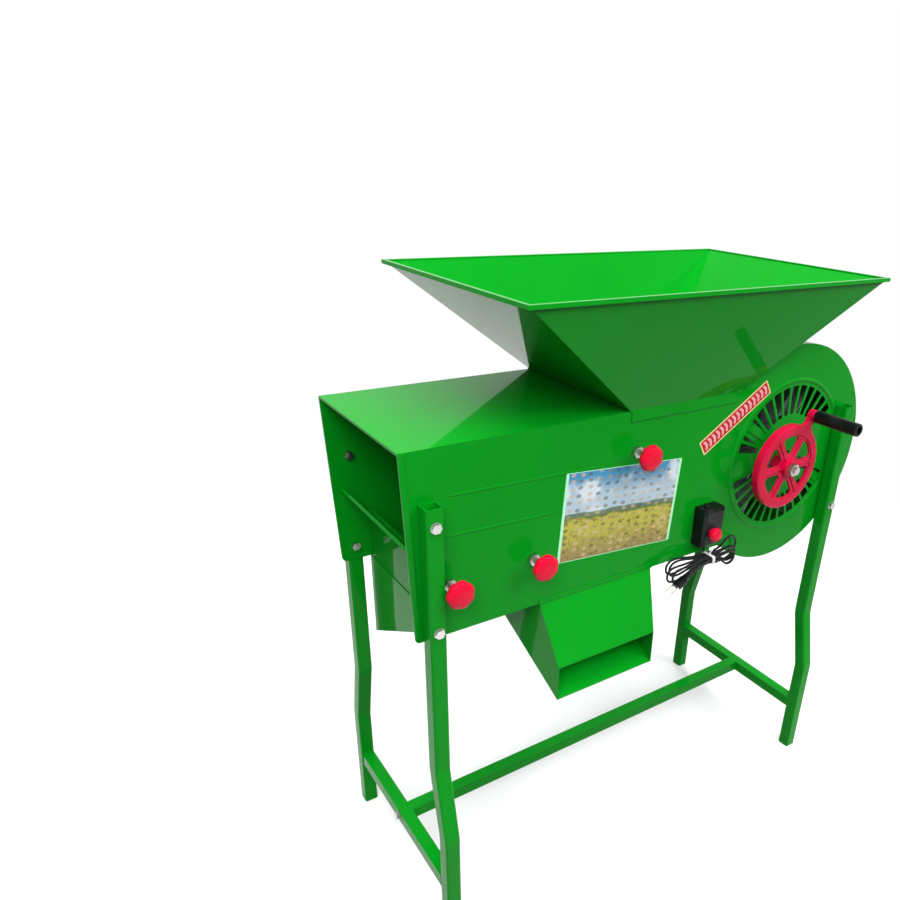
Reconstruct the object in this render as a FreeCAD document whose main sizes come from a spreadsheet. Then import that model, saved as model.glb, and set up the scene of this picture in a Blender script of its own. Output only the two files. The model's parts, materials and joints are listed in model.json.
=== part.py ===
"""Fanning mill: a sheet-steel winnower with a hand crank and an electric drive.

Frame: +X along the body from the open chaff end to the fan, +Y to the back, +Z up.
The origin is on the floor, under the middle of the machine. All sizes are in millimetres.
"""
import FreeCAD, Part
import math
import os
import re
from FreeCAD import Placement, Rotation, Vector

doc = FreeCAD.newDocument("fanning_mill")

# Driving sizes
SIZES = {
    "overall_length": 960,
    "body_width": 280,
    "stand_height": 568,
    "body_height": 284,
    "end_lean": 13,
    "end_hem": 9,
    "toe_round": 8,
    "sheet_gauge": 1.5,
    "cover_roll": 2.5,
    "cover_clear": 2.5,
    "fan_radius": 205,
    "fan_lift": 147,
    "throat_before_fan": 154,
    "throat_length": 225,
    "hopper_reach_left": 231,
    "hopper_reach_right": 251,
    "hopper_reach_side": 68,
    "hopper_rise": 180,
    "rim_roll": 6,
    "rim_proud": 4,
    "lip_drop": 15,
    "slot_inner": 79,
    "slot_outer": 131,
    "slot_inner_width": 9,
    "slot_outer_width": 18,
    "slot_corner": 2.5,
    "slot_pitch": 10.5,
    "upper_slots": 13,
    "lower_slots": 14,
    "upper_first": 38,
    "lower_first": 196,
    "bead_radius": 141,
    "bead_size": 2.5,
    "bead_clear": 5,
    "tab_angle": 42,
    "tab_wide": 30,
    "tab_high": 16,
    "tab_thick": 2,
    "leg_tube": 25,
    "leg_wall": 1.5,
    "leg_corner": 3.5,
    "leg_left_inset": 37,
    "leg_right_inset": 65,
    "leg_lap_left": 212,
    "leg_lap_right": 226,
    "bar_tube": 22,
    "leg_jog": 27,
    "jog_top": 339,
    "jog_bottom": 218,
    "leg_bend": 60,
    "bar_height": 112,
    "stretcher_plug": 3,
    "bolt_radius": 4,
    "bolt_head": 8,
    "bolt_head_high": 5.5,
    "bolt_flange": 1.4,
    "bolt_spare": 8,
    "bolt_across": 12.8,
    "bolt_nut_across": 13,
    "bolt_nut_high": 6.5,
    "bolt_low_lift": 25,
    "bolt_high_lift": 186,
    "rear_chute_start": 62,
    "rear_chute_length": 144,
    "rear_chute_drop": 153,
    "chute_gap": 15,
    "front_chute_length": 225,
    "front_mouth_length": 194,
    "front_mouth_reach": 57,
    "front_mouth_drop": 147,
    "front_mouth_high": 60,
    "chute_lip": 7,
    "tail_shaft_inset": 4,
    "tail_shaft_lift": 82,
    "divider_shaft_inset": 1,
    "divider_shaft_lift": 84,
    "gate_shaft_inset": 15,
    "gate_shaft_drop": 64,
    "board_shaft_radius": 5,
    "board_gauge": 1.5,
    "board_rib": 5,
    "board_room": 0.6,
    "tail_board_long": 66,
    "divider_board_long": 62,
    "gate_board_long": 56,
    "tail_rest": 134,
    "divider_rest": 90,
    "gate_rest": -48,
    "slide_foot_reach": 39,
    "slide_foot_drop": 43,
    "slide_gauge": 2,
    "plate_reach": 8,
    "knob_radius": 21.5,
    "knob_thick": 17,
    "knob_neck": 12,
    "knob_standoff": 26,
    "knob_lobes": 8,
    "nut_across": 17,
    "nut_high": 7,
    "jam_nut_high": 5,
    "seat_gap": 0.3,
    "post_gap": 4,
    "shaft_radius": 8,
    "shaft_hole_room": 3,
    "running_fit": 0.05,
    "fixed_fit": 0.02,
    "gear_module": 1.5,
    "ring_teeth": 92,
    "pinion_teeth": 12,
    "gear_face": 14,
    "gear_backlash": 0.25,
    "pinion_bore": 5,
    "pinion_collar": 4,
    "wheel_rise": 7,
    "wheel_radius": 76,
    "wheel_standoff": 57,
    "wheel_width": 14,
    "web_thick": 5,
    "rim_face": 16,
    "rim_proud_of_web": 1.5,
    "rim_round": 3.2,
    "spoke_width": 16,
    "web_ledge": 3,
    "window_inner": 25,
    "window_round": 7,
    "window_heel": 3.5,
    "rib_width": 3,
    "hub_long": 34,
    "wheel_windows": 6,
    "wheel_hub_radius": 15,
    "hub_proud": 6,
    "axle_radius": 7,
    "axle_collar": 4,
    "axle_plate_thick": 3,
    "axle_plate_wide": 40,
    "axle_reach": 20,
    "axle_nut_across": 20,
    "axle_nut_high": 9,
    "crank_throw": 99,
    "crank_angle": 62,
    "arm_width": 15,
    "arm_fillet": 12,
    "arm_thick": 8,
    "boss_radius": 10,
    "boss_long": 13,
    "boss_proud": 5,
    "pin_radius": 5,
    "grip_radius": 11,
    "grip_bore": 6.5,
    "grip_long": 84,
    "grip_gap": 0.6,
    "blade_count": 6,
    "blade_inner": 66,
    "blade_outer": 168,
    "blade_long": 236,
    "blade_lip": 8,
    "spider_inset": 40,
    "spider_hub_radius": 20,
    "spider_hub_long": 26,
    "spider_arm": 22,
    "spider_thick": 4,
    "bearing_radius": 22,
    "bearing_long": 16,
    "bearing_flange": 9,
    "flange_thick": 5,
    "bar_flat": 26,
    "bar_thick": 4,
    "bar_angle": 148,
    "bar_end": 8,
    "motor_radius": 46,
    "motor_long": 124.6,
    "motor_standoff": 22,
    "strap_clear": 2.5,
    "strap_foot": 22,
    "strap_wide": 44,
    "strap_thick": 3,
    "box_before_fan": 218,
    "box_lift": 23,
    "box_long": 48,
    "box_high": 70,
    "box_deep": 28,
    "box_chamfer": 4.5,
    "dial_radius": 12.5,
    "dial_deep": 17,
    "dial_inset": 19,
    "dial_lift": 27,
    "dial_stem": 3,
    "stud_radius": 5,
    "stud_high": 7,
    "stud_inset": 14,
    "cord_radius": 2,
    "gland_inset": 29,
    "gland_radius": 5.5,
    "gland_long": 12,
    "hank_inset": 27,
    "hank_drop": 26,
    "hank_turns": 4,
    "hank_step": 5,
    "hank_waist": 3.2,
    "hank_fold_left": 14,
    "hank_fold_right": 12.5,
    "tie_wide": 6,
    "tie_thick": 1.2,
    "plug_long": 34,
    "plug_wide": 17,
    "pin_long": 17,
    "pin_wide": 6.3,
    "pin_thick": 1.5,
    "pin_spacing": 12.7,
}

# Places that follow from the driving sizes
PLACES = {
    "body_left": "-overall_length / 2",
    "front_face": "-body_width / 2",
    "back_face": "body_width / 2",
    "inner_width": "body_width - 2 * sheet_gauge",
    "body_bottom": "stand_height",
    "body_top": "stand_height + body_height",
    "fan_across": "overall_length / 2 - fan_radius",
    "fan_height": "stand_height + fan_lift",
    "throat_right": "fan_across - throat_before_fan",
    "throat_left": "throat_right - throat_length",
    "rim_left": "throat_left - hopper_reach_left",
    "rim_right": "throat_right + hopper_reach_right",
    "rim_front": "front_face - hopper_reach_side",
    "rim_back": "back_face + hopper_reach_side",
    "leg_left": "body_left + leg_left_inset",
    "leg_right": "overall_length / 2 - leg_right_inset",
    "leg_upper_y": "body_width / 2 + leg_tube / 2",
    "leg_lower_y": "leg_upper_y + leg_jog",
    "leg_top_left": "stand_height + leg_lap_left",
    "leg_top_right": "stand_height + leg_lap_right",
    "bolt_lower": "stand_height + bolt_low_lift",
    "bolt_upper": "stand_height + bolt_high_lift",
    "rear_chute_left": "body_left + rear_chute_start",
    "rear_chute_right": "rear_chute_left + rear_chute_length",
    "front_chute_left": "rear_chute_right + chute_gap",
    "front_chute_right": "front_chute_left + front_chute_length",
    "tail_across": "rear_chute_left + tail_shaft_inset",
    "tail_shaft_height": "stand_height + tail_shaft_lift",
    "divider_across": "rear_chute_right - divider_shaft_inset",
    "divider_shaft_height": "stand_height + divider_shaft_lift",
    "gate_across": "throat_left + gate_shaft_inset",
    "gate_shaft_height": "body_top - gate_shaft_drop",
    "gear_centres": "gear_module * (ring_teeth - pinion_teeth) / 2",
    "wheel_across": "fan_across - sqrt(gear_centres * gear_centres - wheel_rise * wheel_rise)",
    "wheel_height": "fan_height + wheel_rise",
    "wheel_front": "front_face - wheel_standoff",
    "wheel_back": "wheel_front + wheel_width",
    "web_back": "wheel_front + web_thick",
    "window_outer": "wheel_radius - rim_face - web_ledge",
    "strap_reach": "leg_right - leg_tube / 2 - fan_across - strap_clear",
    "strap_half": "strap_reach - strap_foot",
    "motor_face": "back_face + motor_standoff",
    "box_left": "fan_across - box_before_fan",
    "box_bottom": "stand_height + box_lift",
    "box_front": "front_face - box_deep",
}

ALIASES = sorted(list(SIZES) + list(PLACES), key=len, reverse=True)
ALIAS_PATTERN = re.compile(r"\b(" + "|".join(ALIASES) + r")\b")


def bound(text):
    """An expression with each alias written with the name of its sheet."""
    return ALIAS_PATTERN.sub(lambda m: ("Sizes." if m.group(1) in SIZES else "Places.") + m.group(1), text)


sheet = doc.addObject("Spreadsheet::Sheet", "Sizes")
for row, (alias, value) in enumerate(SIZES.items(), start=1):
    sheet.set("A%d" % row, alias)
    sheet.set("B%d" % row, str(value))
    sheet.setAlias("B%d" % row, alias)
doc.recompute()

places = doc.addObject("Spreadsheet::Sheet", "Places")
for row, (alias, formula) in enumerate(PLACES.items(), start=1):
    places.set("A%d" % row, alias)
    places.setAlias("B%d" % row, alias)
for row, formula in enumerate(PLACES.values(), start=1):
    places.set("B%d" % row, "=" + bound(formula).replace("Places.", ""))
doc.recompute()


class Values:
    """The sheets' values as plain numbers."""

    def __getattr__(self, name):
        return float((sheet if name in SIZES else places).get(name))


at = Values()
PARTS = {}


def sub_part(name, thing):
    """Names a finished sub-part, which also names its file."""
    thing.Label = name
    PARTS[name] = thing
    return thing


def place(thing, x="0", y="0", z="0"):
    """Binds an object's position to expressions on the sheets."""
    for axis, text in zip("xyz", (x, y, z)):
        thing.setExpression("Placement.Base." + axis, bound(text))
    return thing


def block(name, x, y, z, length, width, height):
    """A box by its low corner and its three sizes, all expressions."""
    thing = doc.addObject("Part::Box", name)
    for prop, text in (("Length", length), ("Width", width), ("Height", height)):
        thing.setExpression(prop, bound(text))
    return place(thing, x, y, z)


def rod(name, axis, x, y, z, radius, length):
    """A cylinder from a point along +X, +Y or +Z."""
    thing = doc.addObject("Part::Cylinder", name)
    thing.Placement = Placement(Vector(), Rotation(Vector(0, 0, 1), axis))
    thing.setExpression("Radius", bound(radius))
    thing.setExpression("Height", bound(length))
    return place(thing, x, y, z)


ALONG_X, ALONG_Y, ALONG_Z = Vector(1, 0, 0), Vector(0, 1, 0), Vector(0, 0, 1)


def drum(radius, length, x, y, z):
    """A plain cylinder that runs along +Y from a point."""
    return Part.makeCylinder(radius, length, Vector(x, y, z), ALONG_Y)


def cut(name, base, tool):
    thing = doc.addObject("Part::Cut", name)
    thing.Base = base
    thing.Tool = tool
    return thing


def fuse(name, pieces):
    thing = doc.addObject("Part::MultiFuse", name)
    thing.Shapes = pieces
    thing.Refine = True
    return thing


def made(name, shape):
    """A shape worked out in code from the sheets' values."""
    thing = doc.addObject("Part::Feature", name)
    thing.Shape = shape
    return thing


def origin_plane(body, role):
    return next(f for f in body.Origin.OriginFeatures if f.Role == role)


def sketch_on(body, name, role, geometry, lift=None):
    """A sketch on one of its body's own origin planes, lifted by an expression."""
    sketch = body.newObject("Sketcher::SketchObject", name)
    sketch.AttachmentSupport = [(origin_plane(body, role), "")]
    sketch.MapMode = "FlatFace"
    if lift:
        sketch.setExpression(".AttachmentOffset.Base.z", bound(lift))
    sketch.addGeometry(geometry, False)
    return sketch


def pad(body, name, sketch, length, reverse=False):
    feature = body.newObject("PartDesign::Pad", name)
    feature.Profile = sketch
    feature.setExpression("Length", bound(length))
    feature.Reversed = reverse
    body.Tip = feature
    return feature


def pocket_through(body, name, sketch):
    feature = body.newObject("PartDesign::Pocket", name)
    feature.Profile = sketch
    feature.Type = 1
    feature.Midplane = True
    body.Tip = feature
    return feature


def turned(body, name, feature, role, angle, count):
    """Copies of a feature turned about one of the body's axes."""
    pattern = body.newObject("PartDesign::PolarPattern", name)
    pattern.Originals = [feature]
    pattern.Axis = (origin_plane(body, role), [""])
    pattern.setExpression("Angle", bound(angle))
    pattern.setExpression("Occurrences", bound(count))
    body.Tip = pattern
    return pattern


def line(a, b):
    return Part.LineSegment(Vector(a[0], a[1], 0), Vector(b[0], b[1], 0))


def polygon(points):
    """Line segments for a sketch, closed."""
    return [line(p, q) for p, q in zip(points, points[1:] + points[:1])]


def circle(x, y, radius):
    return Part.Circle(Vector(x, y, 0), Vector(0, 0, 1), radius)


def arc(x, y, radius, first, last):
    """An arc from one angle to another, anticlockwise, in degrees."""
    return Part.ArcOfCircle(circle(x, y, radius), math.radians(first), math.radians(last))


def rounded(corners, radii):
    """A closed outline of lines, with an arc of the given radius at each corner that has one."""
    stops, bends = [], []
    for before, here, after, radius in zip(corners[-1:] + corners[:-1], corners, corners[1:] + corners[:1],
                                           radii):
        here = Vector(here[0], here[1], 0)
        back = (Vector(before[0], before[1], 0) - here).normalize()
        ahead = (Vector(after[0], after[1], 0) - here).normalize()
        half_angle = back.getAngle(ahead) / 2
        trim = radius / math.tan(half_angle)
        middle = here + (back + ahead).normalize() * (radius / math.sin(half_angle) - radius)
        stops.append((here + back * trim, here + ahead * trim))
        if radius:
            bends.append(Part.Arc(here + back * trim, middle, here + ahead * trim))
    straights = [Part.LineSegment(one[1], two[0]) for one, two in zip(stops, stops[1:] + stops[:1])]
    return straights + bends


def polar(radius, angle):
    return (radius * math.cos(math.radians(angle)), radius * math.sin(math.radians(angle)))


def prism_x(points, x, length):
    """A solid whose outline lies in a YZ plane, pushed along +X."""
    corners = [Vector(x, y, z) for y, z in points]
    return Part.Face(Part.makePolygon(corners + corners[:1])).extrude(Vector(length, 0, 0))


def prism_y(points, y, width):
    """A solid whose outline lies in an XZ plane, pushed along +Y."""
    corners = [Vector(x, y, z) for x, z in points]
    return Part.Face(Part.makePolygon(corners + corners[:1])).extrude(Vector(0, width, 0))


def hexagon(across, x, y, z, high, hole=0.0):
    """A hexagon nut or head standing along +Y from y, with an optional hole."""
    corner = across / math.sqrt(3)
    points = [polar(corner, 60 * k) for k in range(6)]
    solid = prism_y([(x + a, z + b) for a, b in points], y, high)
    if hole:
        solid = solid.cut(drum(hole, high, x, y, z))
    return solid


# Side sheets: a straight tunnel that ends in the round fan housing, seen from the front

def housing_points():
    """Where the round housing meets the hopper's right wall, or the top edge, and the body's floor."""
    top = at.body_top - at.fan_height
    start = at.throat_right - at.fan_across
    slope = at.hopper_rise / at.hopper_reach_right
    drop = at.body_bottom - at.fan_height
    lower = (-math.sqrt(at.fan_radius ** 2 - drop ** 2), drop)
    # The hopper wall's line z = top + slope * (x - start) meets the circle a second time at meet
    quad = 1 + slope ** 2
    half = slope * (top - slope * start)
    under_root = half ** 2 - quad * ((top - slope * start) ** 2 - at.fan_radius ** 2)
    if under_root < 0:
        return (-math.sqrt(at.fan_radius ** 2 - top ** 2), top), lower
    meet = (-half + math.sqrt(under_root)) / quad
    return (meet, top + slope * (meet - start)), lower


def angle_of(point):
    return math.degrees(math.atan2(point[1], point[0]))


def side_outline():
    """The sheet's edge about the fan axis: top, hopper wall, housing, floor, rounded toe and slanted end."""
    upper, lower = housing_points()
    left = at.body_left - at.fan_across
    top = at.body_top - at.fan_height
    floor = at.body_bottom - at.fan_height
    throat = (at.throat_right - at.fan_across, top)
    toe = (left + at.end_lean, floor)
    edge = [(left, top), throat, upper] if upper[1] > top else [(left, top), upper]
    straights = [line(a, b) for a, b in zip(edge, edge[1:])]
    corner = rounded([lower, toe, (left, top)], (0, at.toe_round, 0))
    return straights + [arc(0, 0, at.fan_radius, angle_of(lower), angle_of(upper)), corner[0], corner[1],
                        corner[3]]


def hem_outline():
    """The folded hem along the slanted end, from above the toe to the top."""
    left = at.body_left - at.fan_across
    top = at.body_top - at.fan_height
    floor = at.body_bottom - at.fan_height
    foot = floor + at.toe_round
    foot_x = left + at.end_lean * (top - foot) / (top - floor)
    return polygon([(left, top), (foot_x, foot), (foot_x + at.end_hem, foot), (left + at.end_hem, top)])


def slot_outline(angle):
    """A tapered slot with blunt, rounded ends, along a radius of the grille."""
    inner, outer = at.slot_inner_width / 2, at.slot_outer_width / 2
    turn = math.radians(angle)
    corners = [(at.slot_inner, -inner), (at.slot_outer, -outer), (at.slot_outer, outer),
               (at.slot_inner, inner)]
    spots = [(along * math.cos(turn) - aside * math.sin(turn),
              along * math.sin(turn) + aside * math.cos(turn))
             for along, aside in corners]
    return rounded(spots, 4 * [at.slot_corner])


def about_fan(x, z):
    return (x - at.fan_across, z - at.fan_height)


def press_bead(body, name):
    """A bead pressed outwards round the grille, open where the leg stands against the sheet."""
    reach, rise, gauge = -at.bead_radius, at.bead_size, at.sheet_gauge
    half = 1.6 * rise
    inner = half * (1 - gauge / half)
    ridge = [Part.Arc(Vector(reach - half, 0, 0), Vector(reach, -rise, 0), Vector(reach + half, 0, 0)),
             line((reach + half, 0), (reach - half, 0))]
    hollow = [Part.Arc(Vector(reach - inner, gauge, 0), Vector(reach, gauge - rise, 0),
                       Vector(reach + inner, gauge, 0)),
              line((reach + inner, gauge), (reach - inner, gauge))]
    for kind, outline in (("Revolution", ridge), ("Groove", hollow)):
        sketch = sketch_on(body, name + "_" + kind.lower() + "_outline", "XY_Plane", outline)
        doc.recompute()
        feature = body.newObject("PartDesign::" + kind, name + "_bead_" + kind.lower())
        feature.Profile = sketch
        feature.ReferenceAxis = (origin_plane(body, "Y_Axis"), [""])
        feature.Midplane = True
        leg_edge = at.leg_right - at.leg_tube / 2 - at.bead_clear - at.fan_across
        feature.Angle = 360 - 2 * math.degrees(math.acos(leg_edge / (at.bead_radius + half)))
        body.Tip = feature


def side_sheet(name, y, front, extra_holes):
    """One side of the body with its intake grille, hem and holes; the front one also has the pressed bead."""
    body = doc.addObject("PartDesign::Body", name)
    place(body, "fan_across", y, "fan_height")
    outline = sketch_on(body, name + "_outline", "XZ_Plane", side_outline())
    pad(body, name + "_pad", outline, "sheet_gauge", reverse=True)
    hem = sketch_on(body, name + "_hem_outline", "XZ_Plane", hem_outline(),
                    lift="0" if front else "-sheet_gauge")
    pad(body, name + "_hem", hem, "sheet_gauge", reverse=not front)
    fit = at.board_shaft_radius + at.running_fit
    holes = [circle(*about_fan(at.tail_across, at.tail_shaft_height), fit),
             circle(*about_fan(at.divider_across, at.divider_shaft_height), fit),
             circle(*about_fan(at.gate_across, at.gate_shaft_height), fit),
             circle(0, 0, at.shaft_radius + at.shaft_hole_room)]
    for x in (at.leg_left, at.leg_right):
        for z in (at.bolt_lower, at.bolt_upper):
            holes.append(circle(*about_fan(x, z), at.bolt_radius))
    holes += [circle(*about_fan(x, z), radius) for x, z, radius in extra_holes]
    pocket_through(body, name + "_holes_cut", sketch_on(body, name + "_holes", "XZ_Plane", holes))
    for part_name, first, count in (("upper", at.upper_first, "upper_slots"),
                                    ("lower", at.lower_first, "lower_slots")):
        slot = sketch_on(body, name + "_" + part_name + "_slot", "XZ_Plane", slot_outline(first))
        first_slot = pocket_through(body, name + "_" + part_name + "_cut", slot)
        doc.recompute()
        turned(body, name + "_" + part_name + "_slots", first_slot, "Y_Axis",
               "-slot_pitch * (" + count + " - 1)", count)
    if front:
        press_bead(body, name)
    return body


front_extra = [(at.wheel_across, at.wheel_height, at.axle_radius)]
strap_bolts = [at.fan_across + side * (at.strap_half + at.strap_foot / 2) for side in (-1, 1)]
back_extra = [(x, at.fan_height, at.bolt_radius) for x in strap_bolts]
front_sheet = sub_part("front_side_sheet", side_sheet("front_sheet", "front_face", True, front_extra))
back_sheet = sub_part("back_side_sheet", side_sheet("back_sheet", "back_face - sheet_gauge", False,
                                                    back_extra))

# Top cover, floor sheets and the wrap round the fan

cover_plate = block("cover_plate", "body_left", "front_face", "body_top",
                    "throat_left - body_left - cover_clear", "body_width", "sheet_gauge")
cover_edge = rod("cover_roll", ALONG_Y, "body_left + cover_roll", "front_face + sheet_gauge",
                 "body_top + sheet_gauge - cover_roll", "cover_roll", "inner_width")
sub_part("top_cover", fuse("cover", [cover_plate, cover_edge]))

floor_end = "fan_across - sqrt(fan_radius * fan_radius - fan_lift * fan_lift) - 3 * sheet_gauge"
sub_part("throat_floor", block("floor_plate", "front_chute_right", "front_face + sheet_gauge", "body_bottom",
                               floor_end + " - front_chute_right", "inner_width", "sheet_gauge"))


def wrap_outline():
    """The wrap's section: a band between the hopper and the floor."""
    upper, lower = housing_points()
    inner = at.fan_radius - at.sheet_gauge
    clear = math.degrees(2 * at.sheet_gauge / at.fan_radius)
    first, last = angle_of(lower), angle_of(upper) - clear
    ends = [polar(r, a) for a in (first, last) for r in (inner, at.fan_radius)]
    return [arc(0, 0, at.fan_radius, first, last), arc(0, 0, inner, first, last),
            line(ends[0], ends[1]), line(ends[2], ends[3])]


wrap_body = doc.addObject("PartDesign::Body", "wrap")
place(wrap_body, "fan_across", "front_face + sheet_gauge", "fan_height")
pad(wrap_body, "wrap_pad", sketch_on(wrap_body, "wrap_outline", "XZ_Plane", wrap_outline()),
    "inner_width", reverse=True)
sub_part("fan_wrap", wrap_body)

tab_x, tab_z = polar(at.fan_radius, at.tab_angle)
tab_turn = Rotation(ALONG_Y, 90 - at.tab_angle)
tab = Part.makeBox(at.tab_high, at.tab_wide, at.tab_thick)
tab.Placement = Placement(Vector(at.fan_across + tab_x, at.front_face + 4, at.fan_height + tab_z), tab_turn)
tab_bolt = hexagon(10, 0, 0, 0, 4)
tab_bolt.Placement = tab.Placement.multiply(Placement(Vector(at.tab_high / 2, at.tab_wide / 2, at.tab_thick),
                                                      Rotation(ALONG_X, 90)))
sub_part("seam_tab", made("tab", tab.fuse(tab_bolt)))

# Hopper: four sloping walls, a rolled rim and lips over the side sheets


def ring(x0, x1, y0, y1, wall):
    """A rectangle and a smaller one inside it, as sketch lines."""
    outer = polygon([(x0, y0), (x1, y0), (x1, y1), (x0, y1)])
    inner = polygon([(x0 + wall, y0 + wall), (x1 - wall, y0 + wall), (x1 - wall, y1 - wall),
                     (x0 + wall, y1 - wall)])
    return outer, inner


hopper = doc.addObject("PartDesign::Body", "hopper_body")
place(hopper, "0", "0", "body_top")
foot_outer, foot_inner = ring(at.throat_left, at.throat_right, at.front_face, at.back_face, at.sheet_gauge)
rim_outer, rim_inner = ring(at.rim_left, at.rim_right, at.rim_front, at.rim_back, at.sheet_gauge)
for kind, low, high in (("Additive", foot_outer, rim_outer), ("Subtractive", foot_inner, rim_inner)):
    low_sketch = sketch_on(hopper, kind + "_foot", "XY_Plane", low)
    high_sketch = sketch_on(hopper, kind + "_rim", "XY_Plane", high, lift="hopper_rise")
    loft = hopper.newObject("PartDesign::%sLoft" % kind, kind + "_walls")
    loft.Profile = low_sketch
    loft.Sections = [high_sketch]
    loft.Ruled = True
    hopper.Tip = loft
roll_out = ring(at.rim_left - at.rim_proud, at.rim_right + at.rim_proud,
                at.rim_front - at.rim_proud, at.rim_back + at.rim_proud, at.rim_roll)[0]
roll_sketch = sketch_on(hopper, "rim_ring", "XY_Plane", roll_out + rim_inner,
                        lift="hopper_rise - rim_roll / 2")
pad(hopper, "rim_pad", roll_sketch, "rim_roll")
lip_lines = []
for y0 in (at.front_face - at.sheet_gauge, at.back_face):
    lip_lines += polygon([(at.throat_left, y0), (at.throat_right, y0),
                          (at.throat_right, y0 + at.sheet_gauge), (at.throat_left, y0 + at.sheet_gauge)])
lip_sketch = sketch_on(hopper, "lip_ring", "XY_Plane", lip_lines, lift="-lip_drop")
pad(hopper, "lip_pad", lip_sketch, "lip_drop + 3")
sub_part("hopper", hopper)

# Sheets inside the tunnel, seen through the hopper and the open end

slide_low = (at.gate_across + at.slide_foot_reach, at.gate_shaft_height - at.slide_foot_drop)
slide_high = (at.throat_right - at.slide_gauge, at.body_top - 2 * at.sheet_gauge)
slide = prism_y([slide_high, (slide_high[0], slide_high[1] - at.slide_gauge),
                 (slide_low[0], slide_low[1] - at.slide_gauge),
                 (slide_low[0] - 1.5, slide_low[1] - 8), (slide_low[0] - 3, slide_low[1] - 8),
                 (slide_low[0] - 1.5, slide_low[1])],
                at.front_face + at.sheet_gauge, at.inner_width)
sub_part("feed_slide", made("slide", slide))
plate_foot = (at.gate_across - at.plate_reach, at.gate_shaft_height + at.plate_reach)
throat_plate = prism_y([(at.throat_left + at.sheet_gauge, at.body_top),
                        (at.throat_left + 2 * at.sheet_gauge, at.body_top),
                        plate_foot, (plate_foot[0] - at.sheet_gauge, plate_foot[1])],
                       at.front_face + at.sheet_gauge, at.inner_width)
sub_part("throat_plate", made("throat", throat_plate))

tail_post = block("tail_post_plate", "rear_chute_left + sheet_gauge", "front_face + sheet_gauge",
                  "body_bottom",
                  "sheet_gauge", "inner_width",
                  "tail_shaft_height - body_bottom - board_shaft_radius - post_gap")
sub_part("tail_post", tail_post)
post_plate = block("divider_post_plate", "rear_chute_right - 2 * sheet_gauge", "front_face + sheet_gauge",
                   "body_bottom", "sheet_gauge", "inner_width",
                   "divider_shaft_height - body_bottom - board_shaft_radius - post_gap")
post_foot = block("divider_post_foot", "rear_chute_right - 2 * sheet_gauge", "front_face + sheet_gauge",
                  "body_bottom", "front_chute_left - rear_chute_right + 2 * sheet_gauge", "inner_width", "sheet_gauge")
sub_part("divider_post", fuse("divider_post_sheet", [post_plate, post_foot]))

# Chutes: heavy grain slides out to the front, light grain to the back


def rectangle_wire(corners):
    points = [Vector(*c) for c in corners]
    return Part.makePolygon(points + points[:1])


def front_chute_shape():
    g = at.sheet_gauge
    left, right = at.front_chute_left, at.front_chute_right
    mouth_right = left + at.front_mouth_length
    mouth_y = at.front_face - at.front_mouth_reach
    low = at.body_bottom - at.front_mouth_drop
    high = low + at.front_mouth_high
    solids = []
    for inset in (0.0, g):
        top = rectangle_wire([(left + inset, at.front_face + inset, at.body_bottom),
                              (right - inset, at.front_face + inset, at.body_bottom),
                              (right - inset, at.back_face - inset, at.body_bottom),
                              (left + inset, at.back_face - inset, at.body_bottom)])
        mouth = rectangle_wire([(left + inset, mouth_y, high - inset),
                                (mouth_right - inset, mouth_y, high - inset),
                                (mouth_right - inset, mouth_y, low + inset), (left + inset, mouth_y,
                                                                              low + inset)])
        solids.append(Part.makeLoft([top, mouth], True, True))
    shell = solids[0].cut(solids[1])
    lip = Part.makeBox(right - left + 4 * g, g, at.chute_lip,
                       Vector(left - 2 * g, at.front_face - g, at.body_bottom))
    foot = Part.makeBox(right - left, g, 2, Vector(left, at.front_face - g, at.body_bottom - 1))
    return shell.fuse([lip, foot]).removeSplitter()


sub_part("front_chute", made("heavy_chute", front_chute_shape()))


def rear_chute_shape():
    g = at.sheet_gauge
    left, right = at.rear_chute_left, at.rear_chute_right
    low = at.body_bottom - at.rear_chute_drop
    outer = prism_x([(at.front_face, at.body_bottom), (at.back_face, at.body_bottom), (at.back_face, low)],
                    left, right - left)
    slope = at.rear_chute_drop / at.body_width
    inner = prism_x([(at.front_face + g / slope, at.body_bottom), (at.back_face, at.body_bottom),
                     (at.back_face, low + g * math.sqrt(1 + slope ** 2))], left + g, right - left - 2 * g)
    return outer.cut(inner)


sub_part("rear_chute", made("light_chute", rear_chute_shape()))

# Legs: bent square tubes with open tops, crossbars between them and one long stretcher


def leg_path(side, top):
    """The tube's middle line in a YZ plane: down, out over the jog and down, with round bends."""
    upper, lower = side * at.leg_upper_y, side * at.leg_lower_y
    points = [Vector(0, upper, top), Vector(0, upper, at.jog_top), Vector(0, lower, at.jog_bottom),
              Vector(0, lower, 0)]
    edges = []
    start = points[0]
    for before, here, after in zip(points, points[1:], points[2:]):
        into, out = (here - before).normalize(), (after - here).normalize()
        turn = into.getAngle(out)
        trim = at.leg_bend * math.tan(turn / 2)
        first, last = here - into * trim, here + out * trim
        bulge = (out - into).normalize()
        middle = here + bulge * (at.leg_bend / math.cos(turn / 2) - at.leg_bend)
        edges += [Part.makeLine(start, first), Part.Arc(first, middle, last).toShape()]
        start = last
    edges.append(Part.makeLine(start, points[-1]))
    return Part.Wire(edges)


def square_wire(size, corner, y, z):
    half = size / 2
    face = Part.makePlane(size, size, Vector(-half, y - half, z))
    solid = face.extrude(Vector(0, 0, 1))
    edges = [e for e in solid.Edges if abs(e.Vertexes[0].Z - e.Vertexes[1].Z) > 0.5]
    rounded = solid.makeFillet(corner, edges)
    top = max(rounded.Faces, key=lambda f: f.CenterOfMass.z)
    wire = top.OuterWire
    wire.translate(Vector(0, 0, -1))
    return wire


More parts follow.
